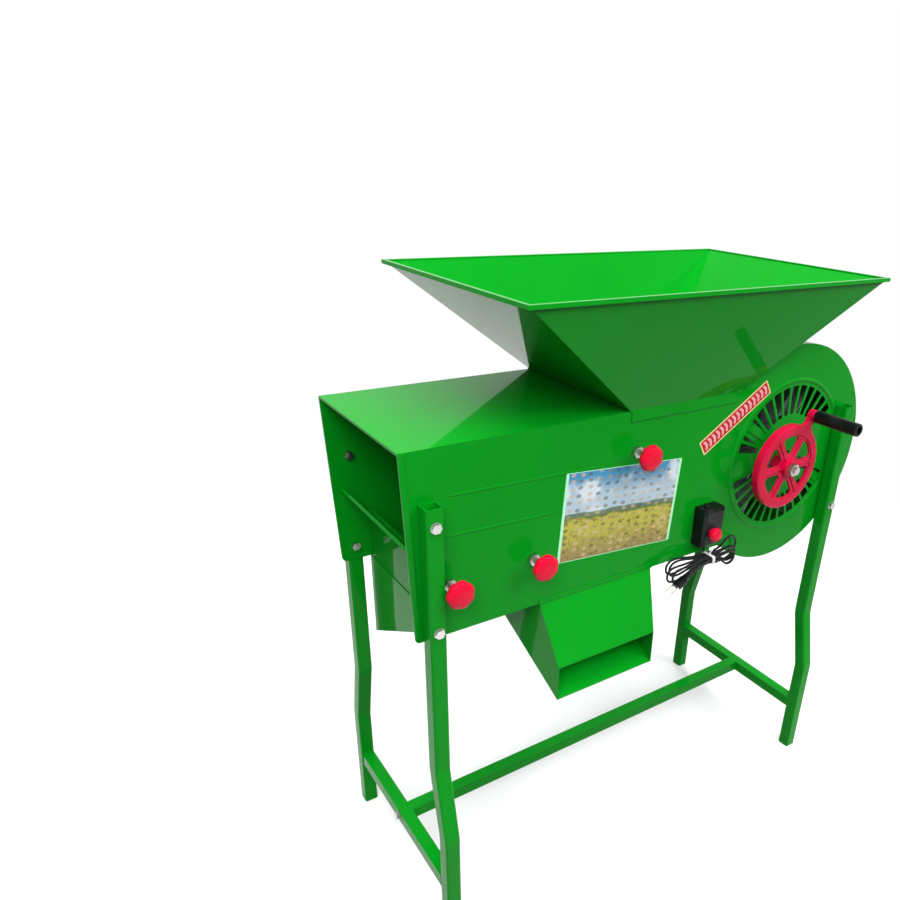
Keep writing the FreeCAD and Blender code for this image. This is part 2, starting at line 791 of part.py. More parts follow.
def leg_shape(x, side, top):
    path = leg_path(side, top)
    y = side * at.leg_upper_y
    outer = path.makePipeShell([square_wire(at.leg_tube, at.leg_corner, y, top)], True, False)
    inner = path.makePipeShell([square_wire(at.leg_tube - 2 * at.leg_wall, at.leg_corner - at.leg_wall, y,
                                            top)], True, False)
    tube = outer.cut(inner)
    for z in (at.bolt_lower, at.bolt_upper):
        tube = tube.cut(drum(at.bolt_radius, at.leg_tube, 0, y - at.leg_tube / 2, z))
    tube.translate(Vector(x, 0, 0))
    return tube


for across_name, x, top in (("left", at.leg_left, at.leg_top_left),
                            ("right", at.leg_right, at.leg_top_right)):
    for side_name, side in (("front", -1), ("back", 1)):
        sub_part("%s_%s_leg" % (side_name, across_name), made("leg", leg_shape(x, side, top)))

for name, x in (("left_crossbar", "leg_left"), ("right_crossbar", "leg_right")):
    span = "2 * leg_lower_y - leg_tube"
    solid = block(name + "_solid", x + " - bar_tube / 2", "-leg_lower_y + leg_tube / 2",
                  "bar_height - bar_tube / 2",
                  "bar_tube", span, "bar_tube")
    hollow = block(name + "_hollow", x + " - bar_tube / 2 + leg_wall", "-leg_lower_y + leg_tube / 2",
                   "bar_height - bar_tube / 2 + leg_wall", "bar_tube - 2 * leg_wall", span, "bar_tube - 2 * leg_wall")
    hole = rod(name + "_hole", ALONG_X, x + " - bar_tube", "0", "bar_height", "bolt_radius", "2 * bar_tube")
    sub_part(name, cut(name + "_drilled", cut(name + "_tube", solid, hollow), hole))

stretcher_long = "leg_right - leg_left - bar_tube"
stretch_solid = block("stretch_solid", "leg_left + bar_tube / 2", "-bar_tube / 2",
                      "bar_height - bar_tube / 2",
                      stretcher_long, "bar_tube", "bar_tube")
stretch_hollow = block("stretch_hollow", "leg_left + bar_tube / 2 + stretcher_plug",
                       "-bar_tube / 2 + leg_wall",
                       "bar_height - bar_tube / 2 + leg_wall", stretcher_long + " - 2 * stretcher_plug",
                       "bar_tube - 2 * leg_wall", "bar_tube - 2 * leg_wall")
stretch_hole = rod("stretch_hole", ALONG_X, "leg_left", "0", "bar_height", "bolt_radius",
                   "leg_right - leg_left")
sub_part("stretcher", cut("stretch_drilled", cut("stretch_tube", stretch_solid, stretch_hollow),
                          stretch_hole))


def turned_to(solid, axis, at_point):
    """Turns a shape that stands along +Y to another axis and moves it."""
    solid = solid.copy()
    solid.Placement = Placement(Vector(*at_point), Rotation(ALONG_Y, axis))
    return solid


def bolt(shank):
    """A flanged hexagon bolt: its head grows towards -Y from the origin, its shank along +Y."""
    head = hexagon(at.bolt_across, 0, -at.bolt_head_high, 0, at.bolt_head_high - at.bolt_flange)
    flange = drum(at.bolt_head, at.bolt_flange, 0, -at.bolt_flange, 0)
    return head.fuse([flange, drum(at.bolt_radius - 0.2, shank, 0, 0, 0)])


def nut():
    return hexagon(at.bolt_nut_across, 0, 0, 0, at.bolt_nut_high, hole=at.bolt_radius - 0.1)


frame_bolts, frame_nuts = [], []
shank_long = at.leg_tube + at.sheet_gauge + at.bolt_spare
for x in (at.leg_left, at.leg_right):
    for z in (at.bolt_lower, at.bolt_upper):
        for side in (-1, 1):
            face = side * (at.body_width / 2 + at.leg_tube)
            frame_bolts.append(turned_to(bolt(shank_long), Vector(0, -side, 0), (x, face, z)))
            frame_nuts.append(turned_to(nut(), Vector(0, -side, 0), (x, side * at.inner_width / 2, z)))
for side, x in ((-1, at.leg_left), (1, at.leg_right)):
    frame_bolts.append(turned_to(bolt(at.bar_tube + at.stretcher_plug + 0.5), Vector(-side, 0, 0),
                                 (x + side * at.bar_tube / 2, 0, at.bar_height)))

# Boards on shafts: the feed gate, the divider and the tail board, each with a red knob


def knob_shape(x, z, face_y):
    """A lobed hand knob: a domed head on a neck, its face towards -Y."""
    thick, radius, neck = at.knob_thick, at.knob_radius, at.knob_neck
    outline = [(0, 0), (neck, 0), (neck, -4), (radius - 3, -5.5), (radius - 0.8, -7.5), (radius, -10.5),
               (radius - 0.8, -thick + 3.5), (radius - 3.5, -thick + 1.5), (radius / 2, -thick + 0.4), (0,
                                                                                                        -thick)]
    corners = [Vector(r, y, 0) for r, y in outline]
    head = Part.Face(Part.makePolygon(corners + corners[:1])).revolve(Vector(), ALONG_Y, 360)
    lobes = int(at.knob_lobes)
    flute = drum(radius / 3, thick + 2, 1.24 * radius, -thick - 1, 0)
    for k in range(lobes):
        cutter = flute.copy()
        cutter.rotate(Vector(), ALONG_Y, 360 / lobes * (k + 0.5))
        head = head.cut(cutter)
    head = head.cut(drum(at.board_shaft_radius + at.fixed_fit, thick / 2, 0, -thick / 2, 0))
    head.translate(Vector(x, face_y, z))
    return head


def board_set(name, x, z, long, angle):
    """A board on its shaft: the shaft runs through both side sheets, the board hangs on a rolled eye."""
    radius, gauge = at.board_shaft_radius, at.board_gauge
    bore = radius + at.fixed_fit
    knob_back = at.front_face - at.knob_standoff
    shaft_front = knob_back - at.knob_thick / 2
    shaft_back = at.back_face + at.nut_high + 1
    shaft = drum(radius, shaft_back - shaft_front, x, shaft_front, z)
    sub_part(name + "_shaft", made(name + "_rod", shaft))
    width = at.inner_width - 2 * at.board_room
    eye = Part.makeCylinder(radius + gauge, width).cut(Part.makeCylinder(bore, width))
    eye.rotate(Vector(), ALONG_X, -90)
    plate = Part.makeBox(long - radius - 0.5, width, gauge, Vector(radius + 0.5, 0, -gauge / 2))
    rib = Part.makeBox(gauge, width, at.board_rib, Vector(long - gauge, 0, gauge / 2 - at.board_rib))
    board = eye.fuse([plate, rib]).removeSplitter()
    board.Placement = Placement(Vector(x, -width / 2, z), Rotation(ALONG_Y, -angle))
    sub_part(name + "_flap", made(name + "_board", board))
    sub_part(name + "_knob", made(name + "_grip", knob_shape(x, z, knob_back)))
    nuts = [hexagon(at.nut_across, x, at.front_face - at.seat_gap - at.nut_high, z, at.nut_high, hole=bore),
            hexagon(at.nut_across, x, knob_back + at.seat_gap, z, at.jam_nut_high, hole=bore),
            hexagon(at.nut_across, x, at.back_face + at.seat_gap, z, at.nut_high, hole=bore)]
    sub_part(name + "_nuts", made(name + "_lock", Part.Compound(nuts)))


board_set("tail_board", at.tail_across, at.tail_shaft_height, at.tail_board_long, at.tail_rest)
board_set("divider", at.divider_across, at.divider_shaft_height, at.divider_board_long, at.divider_rest)
board_set("feed_gate", at.gate_across, at.gate_shaft_height, at.gate_board_long, at.gate_rest)

# Fan: a shaft through both sheets, two spiders and straight blades, with the pinion outside

pinion_front = at.web_back + 2.5
pinion_back = pinion_front + at.gear_face
shoulder = pinion_back + at.pinion_collar
shaft_end = at.motor_face + 14
fan_shaft = drum(at.shaft_radius, shaft_end - shoulder, 0, shoulder, 0)
shaft_tip = drum(at.pinion_bore, shoulder - pinion_front + 1.5, 0, pinion_front - 1.5, 0)
fan_shaft = fan_shaft.fuse(shaft_tip)
fan_shaft.translate(Vector(at.fan_across, 0, at.fan_height))
sub_part("fan_shaft", made("fan_rod", fan_shaft))


def about_fan_axis(solid, angle):
    """A shape made round the Y axis, turned and moved to the fan's axis."""
    turned_solid = solid.copy()
    turned_solid.rotate(Vector(), ALONG_Y, angle)
    turned_solid.translate(Vector(at.fan_across, 0, at.fan_height))
    return turned_solid


blade_turn = 360 / at.blade_count
blade_count = int(at.blade_count)
hub_long = at.spider_hub_long
spiders = []
for side in (-1, 1):
    middle = side * (at.blade_long / 2 - at.spider_inset)
    hub = drum(at.spider_hub_radius, hub_long, 0, middle - hub_long / 2, 0)
    bore = drum(at.shaft_radius, hub_long, 0, middle - hub_long / 2, 0)
    arm = Part.makeBox(at.blade_outer - 30, at.spider_arm, at.spider_thick,
                       Vector(12, middle - at.spider_arm / 2, 0))
    arms = []
    for k in range(blade_count):
        one = arm.copy()
        one.rotate(Vector(), ALONG_Y, blade_turn * k)
        arms.append(one)
    spiders.append(about_fan_axis(hub.fuse(arms).cut(bore), 0))
sub_part("fan_spiders", made("spiders", Part.Compound(spiders)))
blade = Part.makeBox(at.blade_outer - at.blade_inner, at.blade_long, at.sheet_gauge,
                     Vector(at.blade_inner, -at.blade_long / 2, -at.sheet_gauge))
blade_lip = Part.makeBox(at.sheet_gauge, at.blade_long, at.blade_lip,
                         Vector(at.blade_outer - at.sheet_gauge, -at.blade_long / 2, -at.blade_lip))
blade = blade.fuse(blade_lip).removeSplitter()
blades = [about_fan_axis(blade, blade_turn * k) for k in range(blade_count)]
sub_part("fan_blades", made("blades", Part.Compound(blades)))

# Gears: an internal ring in the crank wheel drives the pinion


def involute_turn(radius, base):
    """How far an involute has turned by the time it reaches a radius."""
    if radius <= base:
        return 0.0
    roll = math.sqrt((radius / base) ** 2 - 1)
    return roll - math.atan(roll)


def gear_outline(teeth, tip, root, thinning, steps):
    """Points round a gear with involute flanks, one tooth centred on angle zero."""
    pitch = at.gear_module * teeth / 2
    base = pitch * math.cos(math.radians(20))
    half = math.pi / (2 * teeth) - thinning / pitch + involute_turn(pitch, base)
    points = []
    for k in range(teeth):
        centre = 2 * math.pi * k / teeth
        radii = [root + (tip - root) * n / steps for n in range(steps + 1)]
        flank = [(r, half - involute_turn(r, base)) for r in radii]
        for r, a in flank:
            points.append((r * math.cos(centre - a), r * math.sin(centre - a)))
        for r, a in reversed(flank):
            points.append((r * math.cos(centre + a), r * math.sin(centre + a)))
    return points


def to_xz(points, turn):
    """Turns points in the plane anticlockwise, seen from the front."""
    c, s = math.cos(turn), math.sin(turn)
    return [(x * c - z * s, x * s + z * c) for x, z in points]


mesh_turn = math.atan2(at.fan_height - at.wheel_height, at.fan_across - at.wheel_across)
pinion_teeth, ring_teeth = int(at.pinion_teeth), int(at.ring_teeth)
pinion_pitch = at.gear_module * pinion_teeth / 2
ring_pitch = at.gear_module * ring_teeth / 2
pinion_points = gear_outline(pinion_teeth, pinion_pitch + 0.9 * at.gear_module,
                             pinion_pitch - 1.15 * at.gear_module,
                             at.gear_backlash, 4)
pinion = prism_y(to_xz(pinion_points, mesh_turn), pinion_front, at.gear_face)
pinion = pinion.fuse(drum(11, at.pinion_collar, 0, pinion_back, 0))
pinion = pinion.cut(drum(at.pinion_bore, shoulder - pinion_front, 0, pinion_front, 0))
pinion.translate(Vector(at.fan_across, 0, at.fan_height))
sub_part("drive_pinion", made("pinion", pinion))


def window_shape():
    """The space between two spokes, pushed through the web, with its corners rounded."""
    half_spoke, inner, outer = at.spoke_width / 2, at.window_inner, at.window_outer
    step = 180 / at.wheel_windows
    near = step - math.degrees(math.asin(half_spoke / inner))
    far = step - math.degrees(math.asin(half_spoke / outer))

    def spot(radius, angle):
        x, z = polar(radius, angle)
        return Vector(x, at.wheel_front, z)

    sides = Part.makePolygon([spot(outer, far), spot(inner, near), spot(inner, -near), spot(outer, -far)])
    bow = Part.Arc(spot(outer, -far), spot(outer, 0), spot(outer, far)).toShape()
    window = Part.Face(Part.Wire(sides.Edges + [bow])).extrude(Vector(0, at.web_thick, 0))
    upright = [e for e in window.Edges if abs(e.tangentAt(e.FirstParameter).y) > 0.99]
    outside = [e for e in upright if math.hypot(e.CenterOfMass.x, e.CenterOfMass.z) > (inner + outer) / 2]
    window = window.makeFillet(at.window_round, outside)
    upright = [e for e in window.Edges if abs(e.tangentAt(e.FirstParameter).y) > 0.99]
    inside = [e for e in upright if math.hypot(e.CenterOfMass.x, e.CenterOfMass.z) < inner + 1]
    return window.makeFillet(at.window_heel, inside)


def crank_arm():
    """The arm from the rim to the boss, with a fillet to the rim on each side."""
    radius, half, fillet = at.wheel_radius, at.arm_width / 2, at.arm_fillet
    centre_z = half + fillet
    centre_x = math.sqrt((radius + fillet) ** 2 - centre_z ** 2)
    lean = math.atan2(centre_z, centre_x)
    middle = -(math.pi / 2 + math.pi + lean) / 2
    front = at.wheel_front

    def mirrored(side):
        start = Vector(radius * math.cos(lean), front, side * radius * math.sin(lean))
        bulge = Vector(centre_x + fillet * math.cos(middle), front,
                       side * (centre_z + fillet * math.sin(middle)))
        end = Vector(centre_x, front, side * half)
        return start, Part.Arc(start, bulge, end).toShape(), end

    low_start, low_arc, low_end = mirrored(-1)
    high_start, high_arc, high_end = mirrored(1)
    root_x = at.window_outer + at.web_ledge
    inner = Part.makePolygon([low_start, Vector(root_x, front, low_start.z),
                              Vector(root_x, front, high_start.z), high_start])
    outer = Part.makePolygon([high_end, Vector(at.crank_throw, front, half),
                              Vector(at.crank_throw, front, -half), low_end])
    arm = Part.Face(Part.Wire(inner.Edges + [high_arc] + outer.Edges + [low_arc])).extrude(Vector(0,
                                                                                                  at.arm_thick, 0))
    boss = drum(at.boss_radius, at.boss_long, at.crank_throw, front - at.boss_proud, 0)
    return arm.fuse(boss)


def crank_wheel_shape():
    """The cast wheel: a toothed rim, a web with windows and ribbed spokes, a hub and the crank arm."""
    front, back, web = at.wheel_front, at.wheel_back, at.web_back
    rim = drum(at.wheel_radius, back - front, 0, front, 0)
    rim = rim.makeFillet(at.rim_round, [e for e in rim.Edges if e.Curve.TypeId == "Part::GeomCircle"
                                        and abs(e.CenterOfMass.y - front) < 0.1])
    arm = crank_arm()
    arm.rotate(Vector(), ALONG_Y, -at.crank_angle)
    # The space behind the web: the outline of an external gear cut through the ring
    gap_points = gear_outline(ring_teeth, ring_pitch + 1.15 * at.gear_module,
                              ring_pitch - 0.6 * at.gear_module,
                              -at.gear_backlash, 2)
    rim = rim.fuse(arm).cut(prism_y(to_xz(gap_points, mesh_turn), web, back - web))
    dish = drum(at.window_outer + at.web_ledge, at.rim_proud_of_web, 0, front, 0)
    rim = rim.cut(dish)
    windows = int(at.wheel_windows)
    window = window_shape()
    for k in range(windows):
        one = window.copy()
        one.rotate(Vector(), ALONG_Y, -(at.crank_angle + 360 / windows * (k + 0.5)))
        rim = rim.cut(one)
    rib_long = at.window_outer + at.web_ledge - at.wheel_hub_radius + 2
    rib = Part.makeBox(rib_long, web - front - 1, at.rib_width,
                       Vector(at.wheel_hub_radius - 2, front, -at.rib_width / 2))
    ribs = []
    for k in range(windows):
        one = rib.copy()
        one.rotate(Vector(), ALONG_Y, -(at.crank_angle + 360 / windows * k))
        ribs.append(one)
    hub = drum(at.wheel_hub_radius, at.hub_long, 0, front - at.hub_proud, 0)
    wheel = rim.fuse(ribs + [hub])
    bore = drum(at.axle_radius + at.running_fit, at.hub_long, 0, front - at.hub_proud, 0)
    pin_x, pin_z = polar(at.crank_throw, at.crank_angle)
    pin_bore = drum(at.pin_radius + at.fixed_fit, at.boss_long, pin_x, front - at.boss_proud, pin_z)
    wheel = wheel.cut(bore).cut(pin_bore)
    wheel.translate(Vector(at.wheel_across, 0, at.wheel_height))
    return wheel.removeSplitter()


sub_part("crank_wheel", made("wheel", crank_wheel_shape()))

# The wheel turns on a fixed axle that stands out of a plate on the front sheet
axle_x, axle_z = at.wheel_across, at.wheel_height
axle_end = at.wheel_front - at.axle_reach
plate_thick = at.axle_plate_thick
axle = drum(at.axle_radius, at.front_face + plate_thick + at.sheet_gauge - axle_end, axle_x, axle_end, axle_z)
collar_front = at.wheel_front - at.hub_proud + at.hub_long + at.seat_gap
axle = axle.fuse(drum(at.axle_radius + at.axle_collar, at.front_face - plate_thick - collar_front, axle_x,
                      collar_front, axle_z))
sub_part("wheel_axle", made("axle", axle))
half_wide = at.axle_plate_wide / 2
plate = Part.makeBox(at.gear_centres + 2 * half_wide + 4, plate_thick, 2 * half_wide,
                     Vector(-half_wide - 2, 0, -half_wide))
plate = plate.makeFillet(0.8 * half_wide, [e for e in plate.Edges if abs(e.tangentAt(e.FirstParameter).y) > 0.99])
plate = plate.cut(drum(at.axle_radius + at.fixed_fit, plate_thick, 0, 0, 0))
plate = plate.cut(drum(at.shaft_radius + at.shaft_hole_room, plate_thick, at.gear_centres, 0, 0))
plate.rotate(Vector(), ALONG_Y, -math.degrees(mesh_turn))
plate.translate(Vector(axle_x, at.front_face - plate_thick, axle_z))
sub_part("axle_plate", made("bearing_plate", plate))
nut_front = at.wheel_front - at.hub_proud - at.seat_gap - at.axle_nut_high
axle_nut = hexagon(at.axle_nut_across, axle_x, nut_front, axle_z, at.axle_nut_high,
                   hole=at.axle_radius + at.fixed_fit)
sub_part("axle_nut", made("axle_nuts", axle_nut))

pin_x = at.wheel_across + polar(at.crank_throw, at.crank_angle)[0]
pin_z = at.wheel_height + polar(at.crank_throw, at.crank_angle)[1]
boss_front = at.wheel_front - at.boss_proud
grip_back = boss_front - at.grip_gap
grip_front = grip_back - at.grip_long
pin_front = grip_front + 14
pin = drum(at.pin_radius, boss_front + at.boss_long - pin_front, pin_x, pin_front, pin_z)
pin_head = drum(at.grip_bore - 0.5, 3, pin_x, pin_front - 3, pin_z)
sub_part("crank_pin", made("handle_pin", pin.fuse(pin_head)))
grip = drum(at.grip_radius, at.grip_long, pin_x, grip_front, pin_z)
grip = grip.makeFillet(1.8, [e for e in grip.Edges if e.Curve.TypeId == "Part::GeomCircle"])
grip_bore = drum(at.pin_radius + at.running_fit, at.grip_long, pin_x, grip_front, pin_z)
grip_mouth = drum(at.grip_bore, 14.4, pin_x, grip_front, pin_z)
sub_part("grip", made("grip_sleeve", grip.cut(grip_bore).cut(grip_mouth)))

# Bearings on flat bars behind the grilles, and the motor on its bracket behind the back sheet

bar_long = 2 * (at.slot_outer + at.bar_end)
faces = (("front", at.front_face + at.sheet_gauge, 1), ("back", at.back_face - at.sheet_gauge, -1))
bar_bolts = []
for name, sheet_y, inward in faces:
    low = sheet_y if inward > 0 else sheet_y - at.bar_thick
    bar = Part.makeBox(bar_long, at.bar_thick, at.bar_flat, Vector(-bar_long / 2, low, -at.bar_flat / 2))
    bar = bar.cut(drum(at.shaft_radius + at.shaft_hole_room, at.bar_thick, 0, low, 0))
    bar_solid = about_fan_axis(bar, -at.bar_angle)
    if inward > 0:
        weld_room = drum(at.axle_radius + 5.5, at.bar_thick, axle_x, low, axle_z)
        bar_solid = bar_solid.cut(weld_room)
    sub_part(name + "_bearing_bar", made(name + "_bar", bar_solid))
    base = sheet_y + inward * at.bar_thick
    start = base if inward > 0 else base - at.bearing_long
    housing = drum(at.bearing_radius, at.bearing_long, 0, start, 0)
    flange_start = base if inward > 0 else base - at.flange_thick
    flange = drum(at.bearing_radius + at.bearing_flange, at.flange_thick, 0, flange_start, 0)
    bore = drum(at.shaft_radius + at.running_fit, at.bearing_long, 0, start, 0)
    sub_part(name + "_bearing", made(name + "_housing", about_fan_axis(housing.fuse(flange).cut(bore), 0)))
    for side in (-1, 1):
        head = hexagon(10, side * (at.slot_outer - 20), base if inward > 0 else base - 5, 0, 5)
        bar_bolts.append(about_fan_axis(head, -at.bar_angle))
sub_part("bearing_bolts", made("bar_bolt_heads", Part.Compound(bar_bolts)))

strap_y = (at.back_face, at.back_face + at.strap_thick, at.motor_face - at.strap_thick, at.motor_face)
foot_end = at.strap_half + at.strap_foot
strap_points = [(-foot_end, strap_y[0]), (-at.strap_half + at.strap_thick, strap_y[0]),
                (-at.strap_half + at.strap_thick, strap_y[2]), (at.strap_half - at.strap_thick, strap_y[2]),
                (at.strap_half - at.strap_thick, strap_y[0]), (foot_end, strap_y[0]), (foot_end, strap_y[1]),
                (at.strap_half, strap_y[1]), (at.strap_half, strap_y[3]), (-at.strap_half, strap_y[3]),
                (-at.strap_half, strap_y[1]), (-foot_end, strap_y[1])]
corners = [Vector(x, y, -at.strap_wide / 2) for x, y in strap_points]
strap = Part.Face(Part.makePolygon(corners + corners[:1])).extrude(Vector(0, 0, at.strap_wide))
shaft_hole = drum(at.shaft_radius + at.shaft_hole_room, at.strap_thick, 0, strap_y[2], 0)
strap = strap.cut(shaft_hole)
strap.translate(Vector(at.fan_across, 0, at.fan_height))
for x in strap_bolts:
    strap = strap.cut(drum(at.bolt_radius, at.strap_thick, x, at.back_face, at.fan_height))
sub_part("motor_bracket", made("motor_strap", strap))


def motor_shape():
    """A round motor on the strap: front flange, ribbed body and domed end cap."""
    radius, long = at.motor_radius, at.motor_long
    outline = [Vector(0, 0, 0), Vector(radius + 4, 0, 0), Vector(radius + 4, 5, 0), Vector(radius, 6, 0),
               Vector(radius, long - 26, 0), Vector(radius - 2, long - 24, 0)]
    lines = Part.makePolygon(outline)
    cap = [Vector(radius - 2, long - 24, 0), Vector(radius - 10, long - 7, 0), Vector(radius - 24, long, 0)]
    dome = Part.Arc(*cap).toShape()
    close = Part.makePolygon([cap[-1], Vector(0, long, 0), Vector()])
    profile = Part.Face(Part.Wire(lines.Edges + [dome] + close.Edges))
    solid = profile.revolve(Vector(), ALONG_Y, 360)
    fins = 12
    groove = Part.makeBox(8, long - 50, 5, Vector(radius - 2.5, 14, -2.5))
    for k in range(fins):
        one = groove.copy()
        one.rotate(Vector(), ALONG_Y, 360 / fins * k)
        solid = solid.cut(one)
    solid = solid.cut(drum(at.shaft_radius + at.running_fit, 16, 0, 0, 0))
    solid.translate(Vector(at.fan_across, at.motor_face, at.fan_height))
    return solid


sub_part("motor", made("drive_motor", motor_shape()))
for x in strap_bolts:
    frame_bolts.append(turned_to(bolt(at.sheet_gauge + at.strap_thick + at.bolt_spare), Vector(0, -1, 0),
                                 (x, at.back_face + at.strap_thick, at.fan_height)))
    frame_nuts.append(turned_to(nut(), Vector(0, -1, 0), (x, at.inner_width / 2, at.fan_height)))
sub_part("frame_bolts", made("flange_bolts", Part.Compound(frame_bolts)))
sub_part("frame_nuts", made("nuts", Part.Compound(frame_nuts)))

# Speed controller: a black box with a bevelled front, a stud on top, a gland below and a red knob

case = Part.makeBox(at.box_long, at.box_deep, at.box_high, Vector(at.box_left, at.box_front, at.box_bottom))
case = case.makeChamfer(at.box_chamfer, [e for e in case.Edges if abs(e.CenterOfMass.y - at.box_front) < 0.1])
stud_foot = Vector(at.box_left + at.stud_inset, at.front_face - at.box_deep / 2, at.box_bottom + at.box_high)
case = case.fuse(Part.makeCylinder(at.stud_radius, at.stud_high, stud_foot, ALONG_Z))
dial_x, dial_z = at.box_left + at.dial_inset, at.box_bottom + at.dial_lift
stem_hole = drum(at.dial_stem + at.running_fit, 12, dial_x, at.box_front, dial_z)
sub_part("controller_box", made("controller", case.cut(stem_hole)))
stem, radius, deep = at.dial_stem, at.dial_radius, at.dial_deep
profile = [Vector(0, 10, 0), Vector(stem, 10, 0), Vector(stem, -0.4, 0), Vector(radius - 4, -0.4, 0),
           Vector(radius - 3, -5, 0), Vector(radius, -7, 0), Vector(radius, -deep + 5, 0),
           Vector(radius - 3.5, -deep + 1, 0), Vector(0, -deep, 0)]
speed_knob = Part.Face(Part.makePolygon(profile + profile[:1])).revolve(Vector(), ALONG_Y, 360)
speed_knob = speed_knob.cut(Part.makeBox(1.6, 2, 9, Vector(-0.8, -deep - 0.5, 2)))
speed_knob.translate(Vector(dial_x, at.box_front, dial_z))
sub_part("speed_knob", made("red_dial", speed_knob))

# Mains lead: out of a gland under the controller, round in one loop and into a tied hank with the plug

gland_x, gland_y = at.box_left + at.gland_inset, at.front_face - at.gland_radius - 0.5
gland_foot = at.box_bottom - at.gland_long
gland = Part.makeCone(at.gland_radius, at.cord_radius + 1.2, at.gland_long,
                      Vector(gland_x, gland_y, at.box_bottom), -ALONG_Z)
for k in range(2):
    groove = Part.makeTorus(at.gland_radius - 0.7 * k + 0.5, 0.9,
                            Vector(gland_x, gland_y, at.box_bottom - 4.5 - 4 * k))
    gland = gland.cut(groove)
sub_part("cord_gland", made("strain_relief", gland))

waist_x, waist_z = at.box_left + at.hank_inset, at.box_bottom - at.hank_drop
first_layer = gland_y - 6
waist_half = 13
# The loop's points, measured from the foot of the gland
LOOP = [(0, 0, 0), (0, 0, -17), (10, 0, -34), (28, 0, -41.5), (51, 0, -42), (71, -0.2, -37), (83, -0.6, -23),
        (82, -1.2, -5), (68, -2.4, 7), (50, -3.8, 4)]
LEAD_POINTS = [(gland_x + x, gland_y + y, gland_foot + z) for x, y, z in LOOP]
LEAD_POINTS += [(waist_x + 35, first_layer, waist_z + at.hank_waist),
                (waist_x + waist_half + 3, first_layer, waist_z + at.hank_waist)]


def tube_edges(points):
    """Straight runs joined by tangent arcs, each as large as its two runs allow; prints the radii."""
    points = [Vector(*p) for p in points]
    edges, radii = [], []
    start = points[0]
    for before, here, after in zip(points, points[1:], points[2:]):
        into, out = (here - before).normalize(), (after - here).normalize()
        trim = 0.45 * min((here - before).Length, (after - here).Length)
        half_turn = into.getAngle(out) / 2
        radius = trim / math.tan(half_turn)
        radii.append(round(radius, 1))
        first, last = here - into * trim, here + out * trim
        middle = here + (out - into).normalize() * (radius / math.cos(half_turn) - radius)
        edges += [Part.LineSegment(start, first).toShape(), Part.Arc(first, middle, last).toShape()]
        start = last
    edges.append(Part.LineSegment(start, points[-1]).toShape())
    print("lead radii", radii)
    return edges


def arc_to(start, tangent, end):
    """An arc that leaves start along tangent and reaches end, and its last direction."""
    chord = end - start
    along = Vector(chord).normalize()
    bulge = (tangent - along * tangent.dot(along)).normalize()
    half_angle = tangent.getAngle(chord)
    middle = (start + end) * 0.5 + bulge * (chord.Length / 2 * math.tan(half_angle / 2))
    return Part.Arc(start, middle, end).toShape(), along * (2 * tangent.dot(along)) - tangent


class Winding:
    """A cord's line built up from runs and arcs, each tangent to the last."""

    def __init__(self, start, tangent):
        self.here, self.tangent, self.edges = start, tangent, []

    def run(self, end):
        self.edges.append(Part.LineSegment(self.here, end).toShape())
        self.here = end

    def bend(self, end):
        edge, self.tangent = arc_to(self.here, self.tangent, end)
        self.edges.append(edge)
        self.here = end

    def sway(self, end):
        """Two arcs the opposite way, to a parallel line."""
        tangent = self.tangent
        self.bend((self.here + end) * 0.5)
        self.bend(end)
        self.tangent = tangent

    def fold(self, end):
        """Half a turn in two quarter arcs."""
        middle = (self.here + end) * 0.5 + self.tangent * ((end - self.here).Length / 2)
        back = Vector(self.tangent) * -1
        self.bend(middle)
        self.bend(end)
        self.tangent = back


def hank_line():
    """The loops: left fold, waist, right fold, waist, one layer further forward with each turn."""
    waist = at.hank_waist
    winding = Winding(Vector(*LEAD_POINTS[-1]), Vector(-1, 0, 0))
    for k in range(int(at.hank_turns)):
        layer = first_layer - k * at.hank_step
        ahead = layer - at.hank_step
        left_x, left_z = waist_x - 78 + 5 * math.sin(2.4 * k), waist_z - 2 - 4 * k + 2 * math.sin(1.9 * k)
        right_x, right_z = waist_x + 58 - 5 * k, waist_z - 7 + 2 * math.sin(2.1 * k)
        fold_left, fold_right = at.hank_fold_left + math.sin(3.1 * k), at.hank_fold_right + 0.8 * math.sin(1.3 * k)
        winding.run(Vector(waist_x - waist_half, layer, waist_z + waist))
        winding.sway(Vector(left_x, layer, left_z + fold_left))
        winding.fold(Vector(left_x, layer, left_z - fold_left))
        winding.sway(Vector(waist_x - waist_half, ahead, waist_z - waist))
        winding.run(Vector(waist_x + waist_half, ahead, waist_z - waist))
        winding.sway(Vector(right_x, ahead, right_z - fold_right))
        winding.fold(Vector(right_x, ahead, right_z + fold_right))
        winding.sway(Vector(waist_x + waist_half, ahead, waist_z + waist))
    last = first_layer - at.hank_turns * at.hank_step
    front, high = last - 7.5, waist_z + waist - 1
    winding.run(Vector(waist_x - 5, last, waist_z + waist))
    winding.sway(Vector(waist_x - 33, front, high))
    winding.bend(Vector(waist_x - 57, front, high - 6.5))
    winding.run(winding.here + winding.tangent * (2 * at.cord_radius + 1))
    return winding


def tube_along(edges):
    """A round tube along a line of tangent runs and arcs."""
    wire = Part.Wire(edges)
    start = edges[0].valueAt(edges[0].FirstParameter)
    tangent = edges[0].tangentAt(edges[0].FirstParameter)
    section = Part.Wire(Part.Circle(start, tangent, at.cord_radius).toShape())
    return wire.makePipeShell([section], True, False)


def least_gap(edges):
    """The smallest gap between stretches of the cord that are not next to each other."""
    points = []
    for edge in edges:
        count = max(2, int(edge.Length / 2) + 1)
        points += edge.discretize(Number=count)[1:]
    skip = int(8 * at.cord_radius / 2)
    nearest = min((points[i] - points[j]).Length for i in range(len(points)) for j in range(i + skip,
                                                                                            len(points)))
    return nearest - 2 * at.cord_radius


